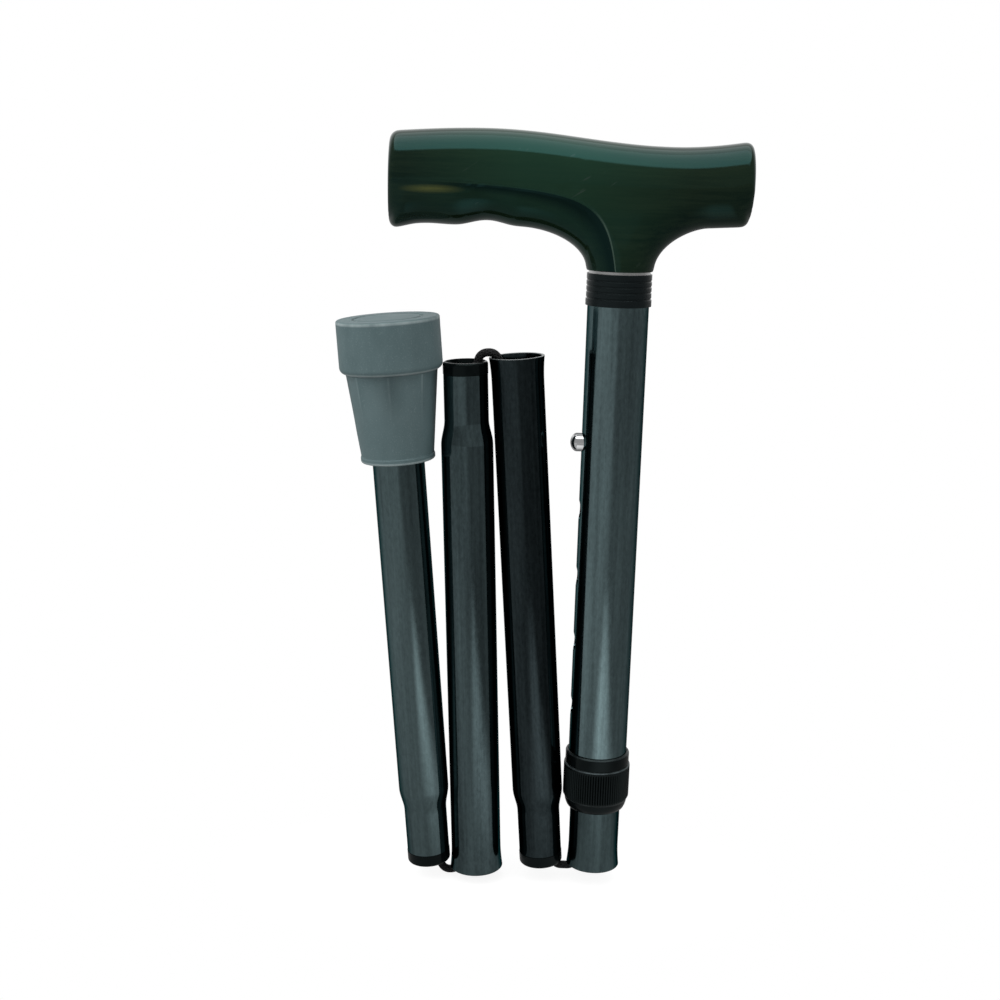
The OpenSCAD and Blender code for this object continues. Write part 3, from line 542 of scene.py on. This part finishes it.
# Lock bush: a black plastic sleeve glued round the outer tube's lower end. A smooth flange tops it;
# its threaded barrel and split collet are inside the nut.
flange_r, flange_low, flange_top, flange_round = 12.1, 42.2, 47, 0.7
barrel_r, barrel_low = 11.5, outer_low + 0.3
collet_r, collet_low = 10.15, 26.6
bush_round = 0.18
bush_line = [(outer_bore, collet_low), (collet_r, collet_low), (barrel_r, barrel_low),
             (barrel_r, flange_low), (flange_r, flange_low), (flange_r, flange_top - flange_round),
             (flange_r - flange_round, flange_top), (outer_r + fit, flange_top),
             (outer_r + fit, outer_low - fit), (outer_bore, outer_low - fit)]
bush_bm = turned(bush_line, upper_place)
soften(bush_bm, bush_round)
bush = finish_mesh(bush_bm, "lock_bush_moulded")
even_normals(bush)
bush.data.materials.append(black_plastic)
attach(bush, "upper_section")
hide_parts("lock_bush")

# Lock nut: a black plastic nut that screws up the bush and squeezes its collet on the inner tube.
# Fine ribs run round it above a smooth rounded lip.
nut_r, nut_bore, thread_r = 12.6, 9.83, 11.8
nut_low, nut_top = 24.4, 41.9
nut_lip = [(10.6, nut_low), (10.95, 24.7), (11.4, 25.6), (11.72, 26.6), (11.9, 27.6), (11.95, 28.3),
           (12.2, 28.5)]
nut_crown = [(nut_r - 0.1, nut_top - 0.25), (nut_r - 0.4, nut_top)]
nut_lead = 0.3
rib_count, rib_depth, rib_low, rib_high, rib_fade = 80, 0.4, 28.6, 41.2, 0.5
rib_rows, rib_steps, ribbed_r, valley_share = 30, 8, 12.3, 0.32
nut_line = [(nut_bore, nut_low)] + nut_lip
nut_line += [(nut_r, rib_low + (rib_high - rib_low) * i / rib_rows) for i in range(rib_rows + 1)]
nut_line += nut_crown + [(thread_r, nut_top), (thread_r, outer_low), (nut_bore, nut_low + nut_lead)]
nut_bm = turned(nut_line, upper_place, steps=rib_count * rib_steps)
for vert in nut_bm.verts:
    z = vert.co.z / mm + grip_h
    r = math.hypot(vert.co.x, vert.co.y) / mm
    if r > ribbed_r:
        turn_share = math.atan2(vert.co.y, vert.co.x) / (2 * math.pi) * rib_count
        valley = max(0, 1 - abs(turn_share - round(turn_share)) / valley_share)
        from_top = min(1, max(0, (rib_high - z) / rib_fade))
        from_lip = min(1, max(0, (z - rib_low) / rib_fade))
        lower = rib_depth * max(valley * from_top, 1 - from_lip)
        vert.co.x *= 1 - lower / r
        vert.co.y *= 1 - lower / r
nut = finish_mesh(nut_bm, "ribbed_lock_nut", math.radians(50))
nut.data.materials.append(black_plastic)
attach(nut, "lock_nut")
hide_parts("lock_nut")

# Inner tube: drawn aluminium that slides in the outer tube, with a flared socket at its lower end for the
# second section. Its guide cap, cord anchor and button spring are inside.
tube_r, tube_bore = 9.525, 8.525
mouth_r, mouth_bore, mouth_l, mouth_steps = 10.1, 9.1, 9, 6
inner_top = 190
rim_round, rim_round_steps, rim_l = 0.2, 3, 0.2
rim_dark, rim_light = (0.035, 0.045, 0.047, 1), (0.26, 0.29, 0.29, 1)
# Painted light and shade: the inner tube's slate is set darker than the upper tube's, for the light it gets.
inner_dark, inner_light = (0.045, 0.066, 0.069, 1), (0.092, 0.134, 0.140, 1)
rim_metal = cut_metal("sprayed_rim", rim_dark, rim_light)


def flare(wall, rim, rim_h, toward_wall):
    """Half profile of a socket's trumpet mouth, from the tube's wall out to its rim."""
    shares = [i / mouth_steps for i in range(mouth_steps + 1)]
    return [(wall + (rim - wall) * t * t, rim_h + toward_wall * mouth_l * (1 - t)) for t in shares]


inner_line = [(tube_bore, inner_top), (tube_r, inner_top)]
inner_line += flare(tube_r, mouth_r, 0, 1) + flare(tube_bore, mouth_bore, 0, 1)[::-1]
inner_tube = finish_mesh(turned(inner_line, upper_place), "inner_tube_enamelled")
punch_holes(inner_tube, tube_r, [button_h], rim_round, rim_round_steps)
inner_tube.data.materials.append(enamel("slate_enamel_inner", inner_dark, inner_light, 0))
inner_tube.data.materials.append(rim_metal)
for face in inner_tube.data.polygons:
    if face.center.z < (rim_l - grip_h) * mm:
        face.material_index = 1
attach(inner_tube, "inner_section")
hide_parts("inner_tube")
dress("inner_cap", pale_plastic)
dress("cord_anchor", pale_plastic)

# Button spring: a strip of spring steel bent to a U, sprung between the inner tube's walls behind the
# button. Its front leaf is pushed back towards the rear one as the button goes in.
spring_bm = bmesh.new()
spring_bm.from_mesh(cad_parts["button_spring"].data)
bmesh.ops.remove_doubles(spring_bm, verts=spring_bm.verts, dist=2e-6)
spring = finish_mesh(spring_bm, "button_spring_strip")
spring.data.materials.clear()
spring.data.materials.append(plated_steel)
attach(spring, "inner_section")
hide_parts("button_spring")
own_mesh(spring)

# Snap button: a turned steel button, chromed, riding on the spring strip inside the inner tube. It snaps
# out through both tubes' holes and is thumbed in to change the height.
button_back, button_reach, button_r, button_dome = 6.74, 15.1, 3.4, 2.4
button_foot_r, button_foot_l = 4.1, 0.5
button_round, dome_steps = 0.12, 12
chrome_dark, chrome_light = (0.78, 0.79, 0.80, 1), (0.86, 0.87, 0.88, 1)
chrome_shadow = (0.030, 0.034, 0.035, 1)
button_line = [(0, button_back), (button_foot_r, button_back), (button_foot_r, button_back + button_foot_l),
               (button_r, button_back + button_foot_l)]
button_line += [(button_r * math.cos(a), button_reach - button_dome + button_dome * math.sin(a))
                for a in [math.pi / 2 * i / dome_steps for i in range(dome_steps + 1)]]
button_place = Matrix.Translation((0, 0, (button_h - grip_h) * mm)) @ Matrix.Rotation(-math.pi / 2, 4, "Y")
button_bm = turned(button_line, button_place, steps=64, closed=False)
soften(button_bm, button_round, math.radians(50))
button = finish_mesh(button_bm, "chromed_button")
chrome, tree, shader = new_material("polished_chrome")
own = put(tree, "TexCoord").outputs["Object"]
fingerprints = noise(tree, own, (1, 1, 1), 700, 4, 0.6)
plated = blend_colours(tree, fingerprints, chrome_dark, chrome_light)
at = put(tree, "SeparateXYZ", {0: own}).outputs
from_axis = reckon(tree, "ABSOLUTE", reckon(tree, "SUBTRACT", at["Z"], (button_h - grip_h) * mm))
shadowed = reckon(tree, "MAXIMUM", spread(tree, from_axis, 0.0022, 0.0031, 0.0, 0.92),
                  spread(tree, at["X"], -0.0149, -0.0140, 0.92, 0.0))
feed(tree, shader, {"Base Color": blend_colours(tree, shadowed, plated, chrome_shadow),
                    "Roughness": spread(tree, fingerprints, 0.35, 0.75, 0.05, 0.14)})
shader.inputs["Metallic"].default_value = 1.0
button.data.materials.append(chrome)
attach(button, "snap_button")
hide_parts("snap_button")

# Second, third and tip tubes: drawn aluminium, swaged down to a spigot at one end. The second and third are
# flared to a socket at the other; the tip's is cut square inside its rubber. All are enamelled slate.
section_l, tip_tube_l = 197.4, 195.2
cap_l, spigot_r, spigot_bore, spigot_l, shoulder_l, shoulder_steps = 4.5, 8.1, 7.1, 17, 9, 10
second_lean, third_lean, tip_lean = 4.5, 2.6, 5.0865472
# Painted light and shade: the second section's slate is the darkest, for the shade between its neighbours,
# and the third's and the tip's are lighter, for the light they get.
second_dark, second_light = (0.014, 0.020, 0.022, 1), (0.046, 0.064, 0.069, 1)
third_dark, third_light = (0.048, 0.070, 0.074, 1), (0.122, 0.175, 0.184, 1)
tip_dark, tip_light = (0.080, 0.116, 0.121, 1), (0.152, 0.219, 0.228, 1)


def leaning(x, drop, lean):
    """Where a folded section stands: how far left and down its lower end is, and its lean in degrees."""
    lower_end = Matrix.Translation((-x * mm, 0, (-grip_h - drop) * mm))
    return lower_end @ Matrix.Rotation(math.radians(-lean), 4, "Y")


turn_over = Matrix.Translation((0, 0, section_l * mm)) @ Matrix.Rotation(math.pi, 4, "X")
second_place = leaning(20.1, 0, second_lean)
third_place = leaning(45.1, 2.7, third_lean) @ turn_over
tip_place = leaning(63.6, 0.7, tip_lean)


def swaged(length, flared):
    """Half profile of a tube with a spigot below and, where it has one, a flared mouth above."""
    neck = [(3 * t * t - 2 * t ** 3, cap_l + spigot_l + shoulder_l * t)
            for t in [i / shoulder_steps for i in range(shoulder_steps + 1)]]
    outside = [(spigot_r, cap_l)] + [(spigot_r + (tube_r - spigot_r) * s, z) for s, z in neck]
    inside = [(spigot_bore, cap_l)] + [(spigot_bore + (tube_bore - spigot_bore) * s, z) for s, z in neck]
    if flared:
        outside += flare(tube_r, mouth_r, length, -1)
        inside += flare(tube_bore, mouth_bore, length, -1)
    else:
        outside.append((tube_r, length))
        inside.append((tube_bore, length))
    return outside + inside[::-1]


for node, body, place, length, lean, dark, light in [
        ("second_tube", "second_section", second_place, section_l, second_lean, second_dark, second_light),
        ("third_tube", "third_section", third_place, section_l, third_lean, third_dark, third_light),
        ("tip_tube", "tip_section", tip_place, tip_tube_l, tip_lean, tip_dark, tip_light)]:
    tube_bm = turned(swaged(length, node != "tip_tube"), place)
    soften(tube_bm, rim_round, math.radians(50))
    tube = finish_mesh(tube_bm, node + "_enamelled")
    even_normals(tube)
    tube.data.materials.append(enamel("slate_enamel_" + node, dark, light, lean))
    tube.data.materials.append(rim_metal)
    back = place.inverted()
    for face in tube.data.polygons:
        if (back @ face.center).z > (length - rim_l) * mm:
            face.material_index = 1
    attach(tube, body)
    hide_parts(node)

# End plugs: moulded black plastic caps pressed into the three spigots. Each has a rounded rim to lead it
# into its socket and a wide funnel, so the cord doesn't chafe as the sections fold.
cap_r, cap_round, cap_steps, plug_l = 8.22, 1.0, 6, 13
funnel_r, funnel_small_r, funnel_steps = 7.2, 3.7, 8
plug_round = 0.15
plug_r, plug_top, cap_top = spigot_bore - fit, cap_l + plug_l, cap_l - fit / 2
plug_line = [(funnel_small_r + (funnel_r - funnel_small_r) * t, plug_top * (1 - t))
             for t in [i / funnel_steps for i in range(funnel_steps + 1)]]
plug_line += [(cap_r - cap_round + cap_round * math.sin(a), cap_round - cap_round * math.cos(a))
              for a in [math.pi / 2 * i / cap_steps for i in range(cap_steps + 1)]]
plug_line += [(cap_r, cap_top), (plug_r, cap_top), (plug_r, plug_top)]
for name, node, body, place in [("second_end_plug", "second_plug", "second_section", second_place),
                                ("third_end_plug", "third_plug", "third_section", third_place),
                                ("tip_end_plug", "tip_plug", "tip_section", tip_place)]:
    plug_bm = turned(plug_line, place, steps=96)
    soften(plug_bm, plug_round, math.radians(50))
    plug = finish_mesh(plug_bm, name)
    even_normals(plug)
    plug.data.materials.append(black_plastic)
    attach(plug, body)
    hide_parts(node)

# Rubber tip: grey moulded rubber pushed over the tip tube, with a broad foot, a tapered body with shallow
# flutes that fade towards its lip, and a ring groove in the sole. The cord's washer and knot have room
# inside it.
tip_l, ferrule_l, foot_l = 210.9, 51.9, 19.3
foot_r, foot_bevel, foot_chamfer = 18.7, 0.8, 2.4
body_r, body_small_r, body_rows = 16.7, 13.3, 24
lip_l, lip_proud, lip_round, bore_round = 2.2, 0.3, 0.4, 0.5
flute_count, flute_depth, flute_share, flute_end = 8, 0.9, 0.7, 0.05
ring_r, ring_w, ring_depth, ring_slope = 12.34, 1.2, 0.9, 0.2
washer_l, knot_room_r, knot_room_l = 1.5, 5.7, 8.0
rubber_round = 0.2
rubber_dark, rubber_light = (0.096, 0.150, 0.158, 1), (0.122, 0.184, 0.193, 1)
bloom_grey, grit_grey = (0.165, 0.228, 0.236, 1), (0.200, 0.270, 0.278, 1)
flute_shade_grey = (0.040, 0.062, 0.066, 1)
crest_highlight, rubber_edge_highlight = (0.300, 0.380, 0.385, 1), (0.380, 0.460, 0.465, 1)

ferrule_low, step_h = tip_l - ferrule_l, tip_l - foot_l
body_low, body_l = ferrule_low + lip_l, step_h - ferrule_low - lip_l
lip_r = body_small_r + lip_proud
washer_top = tip_tube_l + washer_l + 2 * fit
room_top = washer_top + knot_room_l
ring_low, ring_high = ring_r - ring_w / 2, ring_r + ring_w / 2
rubber_line = [(0, room_top), (knot_room_r, room_top), (knot_room_r, washer_top), (tube_r + fit, washer_top),
               (tube_r + fit, ferrule_low + bore_round), (tube_r + bore_round, ferrule_low),
               (lip_r - lip_round, ferrule_low), (lip_r, ferrule_low + lip_round), (lip_r, body_low - 0.3)]
rubber_line += [(body_small_r + (body_r - body_small_r) * i / body_rows, body_low + body_l * i / body_rows)
                for i in range(body_rows)]
rubber_line.append((body_r, step_h - 0.05))
rubber_line += [(foot_r - foot_chamfer * (1 - math.sin(a)), step_h + foot_chamfer * (1 - math.cos(a)))
                for a in [math.pi / 2 * i / 6 for i in range(7)]]
rubber_line += [(foot_r - foot_bevel * (1 - math.cos(a)), tip_l - foot_bevel * (1 - math.sin(a)))
                for a in [math.pi / 2 * i / 5 for i in range(6)]]
rubber_line += [(ring_high, tip_l), (ring_high - ring_slope, tip_l - ring_depth),
                (ring_low + ring_slope, tip_l - ring_depth), (ring_low, tip_l), (0, tip_l)]
rubber_bm = turned(rubber_line, Matrix.Identity(4), steps=192, closed=False)
soften(rubber_bm, rubber_round, math.radians(35))
for vert in rubber_bm.verts:
    r = math.hypot(vert.co.x, vert.co.y) / mm
    t = (vert.co.z / mm - body_low) / body_l
    if 0 < t < 1 and r > tube_r + 1:
        fade = min(1, max(0, (t - 1 + flute_share) / flute_share)) * min(1, (1 - t) / flute_end)
        across = flute_count * math.atan2(vert.co.y, vert.co.x) / (2 * math.pi) % 1
        hollow = flute_depth * fade * (1 - (2 * across - 1) ** 2)
        vert.co.x *= 1 - hollow / r
        vert.co.y *= 1 - hollow / r
bmesh.ops.transform(rubber_bm, matrix=tip_place, verts=rubber_bm.verts)
rubber_tip = finish_mesh(rubber_bm, "grey_rubber_tip", math.radians(50))
even_normals(rubber_tip)


def along_tip(tree, place, axis):
    """How far a place is from the tip section's lower end, along one of that section's axes."""
    ahead = tip_place.to_3x3() @ Vector(axis)
    far = put(tree, "VectorMath", {0: place, 1: tuple(ahead)}, operation="DOT_PRODUCT").outputs["Value"]
    return reckon(tree, "SUBTRACT", far, ahead.dot(tip_place.translation))


rubber, tree, shader = new_material("grey_moulded_rubber")
own = put(tree, "TexCoord").outputs["Object"]
grit = noise(tree, own, (1, 1, 1), 1800, 3, 0.6)
smear = noise(tree, own, (1, 1, 0.4), 130, 5, 0.6)
bloom = noise(tree, own, (1, 1, 1), 40, 3, 0.5)
tone = blend_colours(tree, spread(tree, smear, 0.35, 0.7, 0.0, 1.0), rubber_dark, rubber_light)
dusty = blend_colours(tree, spread(tree, bloom, 0.5, 0.75, 0.0, 0.35), tone, bloom_grey)
speckled = blend_colours(tree, spread(tree, grit, 0.56, 0.72, 0.0, 0.45), dusty, grit_grey)
up_it = along_tip(tree, own, (0, 0, 1))
beside = along_tip(tree, own, (1, 0, 0))
round_it = reckon(tree, "ARCTAN2", put(tree, "SeparateXYZ", {0: own}).outputs["Y"], beside)
fluted = reckon(tree, "MULTIPLY", spread(tree, up_it, (body_low + 12) * mm, (step_h - 4) * mm, 0.0, 1.0),
                spread(tree, up_it, (step_h - 0.4) * mm, step_h * mm, 1.0, 0.0))
# Painted shade: darkened bands round the fluted body at every quarter turn, growing towards the foot.
in_flute = reckon(tree, "PINGPONG", round_it, 2 * math.pi / flute_count)
flute_shade = reckon(tree, "MULTIPLY", fluted, spread(tree, in_flute, 0.05, 0.4, 0.42, 0.0))
flute_shaded = blend_colours(tree, flute_shade, speckled, flute_shade_grey)
# Painted highlights: thin pale lines along the flute crests, growing towards the foot.
from_crest = reckon(tree, "PINGPONG", round_it, math.pi / flute_count)
ridge = reckon(tree, "MULTIPLY", spread(tree, from_crest, 0.0, 0.035, 1.0, 0.0), fluted)
crest_highlight_share = reckon(tree, "MULTIPLY", ridge, spread(tree, smear, 0.35, 0.65, 0.1, 0.6))
crest_highlighted = blend_colours(tree, crest_highlight_share, flute_shaded, crest_highlight)
# Painted highlights: pale lines at the lip's edge, the foot's step and the sole's rim.
edge_heights = [ferrule_low + lip_round, step_h + 0.5, tip_l - foot_bevel]
edges = near_lines(tree, up_it, [(edge_h * mm, 1.0) for edge_h in edge_heights], 0.0002, 0.0007)
edge_highlight = reckon(tree, "MULTIPLY", edges, spread(tree, smear, 0.3, 0.6, 0.3, 0.85))
feed(tree, shader, {"Base Color": blend_colours(tree, edge_highlight, crest_highlighted, rubber_edge_highlight),
                    "Roughness": spread(tree, smear, 0.3, 0.7, 0.5, 0.68),
                    "Normal": bumpy(tree, grit, 0.35, 0.0002)})
shader.inputs["Specular IOR Level"].default_value = 0.35
rubber_tip.data.materials.append(rubber)
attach(rubber_tip, "tip_section")
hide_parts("rubber_tip")
dress("tip_washer", plated_steel)

# Elastic cord: rubber strands in a black braided sleeve, stretched through all four sections. It passes from
# each socket over the rims into the next spigot's funnel, and is knotted over its anchor and over the tip's
# washer.
cord_r, cord_sides = 1.5, 24
bend_r, bend_steps, rim_gap, mouth_run, spigot_run, end_run = 3.4, 12, 0.3, 32, 24, 6
bend_spacing, run_spacing = 2.0, 6
strands_round, strands_along = 8.0, 520.0
braid_dark, braid_light = (0.0025, 0.0026, 0.003, 1), (0.013, 0.0135, 0.0145, 1)
braid, tree, shader = new_material("black_braid")
lay = put(tree, "SeparateXYZ", {0: put(tree, "TexCoord").outputs["UV"]}).outputs
slant = reckon(tree, "MULTIPLY", lay["Y"], strands_along)
crossed = []
for direction in (1, -1):
    strand = reckon(tree, "ADD", reckon(tree, "MULTIPLY", lay["X"], strands_round * direction), slant)
    crossed.append(reckon(tree, "SINE", reckon(tree, "MULTIPLY", strand, 2 * math.pi)))
weave = reckon(tree, "MAXIMUM", *crossed)
feed(tree, shader, {"Base Color": blend_colours(tree, spread(tree, weave, -0.2, 1.0, 0.0, 1.0), braid_dark,
                                                braid_light),
                    "Normal": bumpy(tree, weave, 0.5, 0.0003)})
shader.inputs["Roughness"].default_value = 0.6
shader.inputs["Specular IOR Level"].default_value = 0.25


def cord_piece(name, node, path, place):
    """A round cord along a path of points in millimetres, with its length and turn as UVs for the braid."""
    bm = bmesh.new()
    rings, gone = [], [0]
    for i, point in enumerate(path):
        ahead = (path[min(i + 1, len(path) - 1)] - path[max(i - 1, 0)]).normalized()
        side = Vector((0, 1, 0)) if abs(ahead.y) < 0.9 else Vector((1, 0, 0))
        across = side.cross(ahead).normalized()
        facing = Matrix((across, ahead.cross(across), ahead)).transposed().to_4x4()
        ring = bmesh.ops.create_circle(bm, segments=cord_sides, radius=cord_r * mm,
                                       cap_ends=i in (0, len(path) - 1),
                                       matrix=Matrix.Translation(point * mm) @ facing)
        rings.append(ring["verts"])
        if i:
            gone.append(gone[-1] + (point - path[i - 1]).length * mm)
    for pair in zip(rings, rings[1:]):
        loops = []
        for ring in pair:
            loops += {e for v in ring for e in v.link_edges if e.other_vert(v) in ring}
        bmesh.ops.bridge_loops(bm, edges=loops)
    bmesh.ops.recalc_face_normals(bm, faces=bm.faces)
    order = {v: (k, i) for i, ring in enumerate(rings) for k, v in enumerate(ring)}
    uv = bm.loops.layers.uv.new("lay")
    for face in bm.faces:
        ks = [order[v][0] for v in face.verts]
        over_seam = max(ks) - min(ks) > cord_sides / 2
        for loop in face.loops:
            k, i = order[loop.vert]
            wrapped = k + cord_sides if over_seam and k < cord_sides / 2 else k
            loop[uv].uv = (wrapped / cord_sides, gone[i])
    bmesh.ops.transform(bm, matrix=place, verts=bm.verts)
    cord = finish_mesh(bm, name, math.radians(60))
    cord.data.materials.append(braid)
    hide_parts(node)
    return cord


def rounded_path(corners):
    """A line of evenly spaced points with its corners rounded to the cord's bend."""
    path = [corners[0]]
    for before, at, after in zip(corners, corners[1:], corners[2:]):
        come, go = (at - before).normalized(), (after - at).normalized()
        angle = come.angle(go)
        if angle < 1e-4:
            continue
        start = at - come * bend_r * math.tan(angle / 2)
        inward = (go - come * come.dot(go)).normalized()
        for i in range(bend_steps + 1):
            a = angle * i / bend_steps
            path.append(start + come * bend_r * math.sin(a) + inward * bend_r * (1 - math.cos(a)))
    path.append(corners[-1])
    spaced = [path[0]]
    for point in path[1:]:
        last = spaced[-1]
        steps = max(1, round((point - last).length / bend_spacing))
        spaced += [last.lerp(point, (i + 1) / steps) for i in range(steps)]
    return spaced


def bend_path(mouth, spigot):
    """The cord from a tube's socket, over both rims, into the next tube's spigot, in that socket's place."""
    seen = mouth.inverted() @ spigot
    cap = seen.translation / mm
    inward = (seen.to_3x3() @ Vector((0, 0, 1))).normalized()
    toward = math.copysign(1, cap.x)
    level = min(0, cap.z) - rim_gap - cord_r
    rim = toward * (mouth_bore - cord_r - rim_gap)
    edge = cap.x - toward * (funnel_r - cord_r - rim_gap)
    return rounded_path([Vector((0, 0, mouth_run)), Vector((0, 0, mouth_run - end_run)),
                         Vector((rim, 0, level)), Vector((edge, 0, level)),
                         cap + inward * (spigot_run - end_run), cap + inward * spigot_run])


def straight(low, top):
    """Points of a straight run on a tube's axis."""
    count = max(2, round((top - low) / run_spacing))
    return [Vector((0, 0, low + (top - low) * i / count)) for i in range(count + 1)]


second_mouth = second_place @ turn_over
third_mouth = third_place @ turn_over
for node, first, last, mouth, spigot in [
        ("cord_lower_bend", "inner_section", "lower_bend", upper_place, second_place),
        ("cord_top_bend", "top_bend", "third_section", second_mouth, third_place),
        ("cord_foot_bend", "foot_bend", "tip_section", third_mouth, tip_place)]:
    bend = cord_piece("braided_" + node, node, bend_path(mouth, spigot), mouth)
    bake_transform(bend)

anchor_top = 129
run_low, run_top, tip_run_top = spigot_run + fit, section_l - mouth_run - fit, tip_tube_l + washer_l + fit
for name, node, body, low, top, place in [
        ("braided_cord_upper", "cord_upper_run", "inner_section", mouth_run + fit, anchor_top, upper_place),
        ("braided_cord_second", "cord_second_run", "second_section", run_low, run_top, second_place),
        ("braided_cord_third", "cord_third_run", "third_section", run_low, run_top, third_place),
        ("braided_cord_tip", "cord_tip_run", "tip_section", run_low, tip_run_top, tip_place)]:
    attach(cord_piece(name, node, straight(low, top), place), body)

knot_wind_r, knot_turns, knot_pitch, knot_steps = 4.0, 3, 2.4, 24
for name, node, body, low, place in [
        ("upper_stopper_knot", "cord_upper_knot", "inner_section", anchor_top + fit, upper_place),
        ("tip_stopper_knot", "cord_tip_knot", "tip_section", washer_top, tip_place)]:
    wind = []
    for i in range(knot_turns * knot_steps + 1):
        a = 2 * math.pi * i / knot_steps
        rise = cord_r + knot_pitch * (knot_turns - 1) * i / (knot_turns * knot_steps)
        wind.append(Vector((knot_wind_r * math.cos(a), knot_wind_r * math.sin(a), low + rise)))
    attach(cord_piece(name, node, wind, place), body)
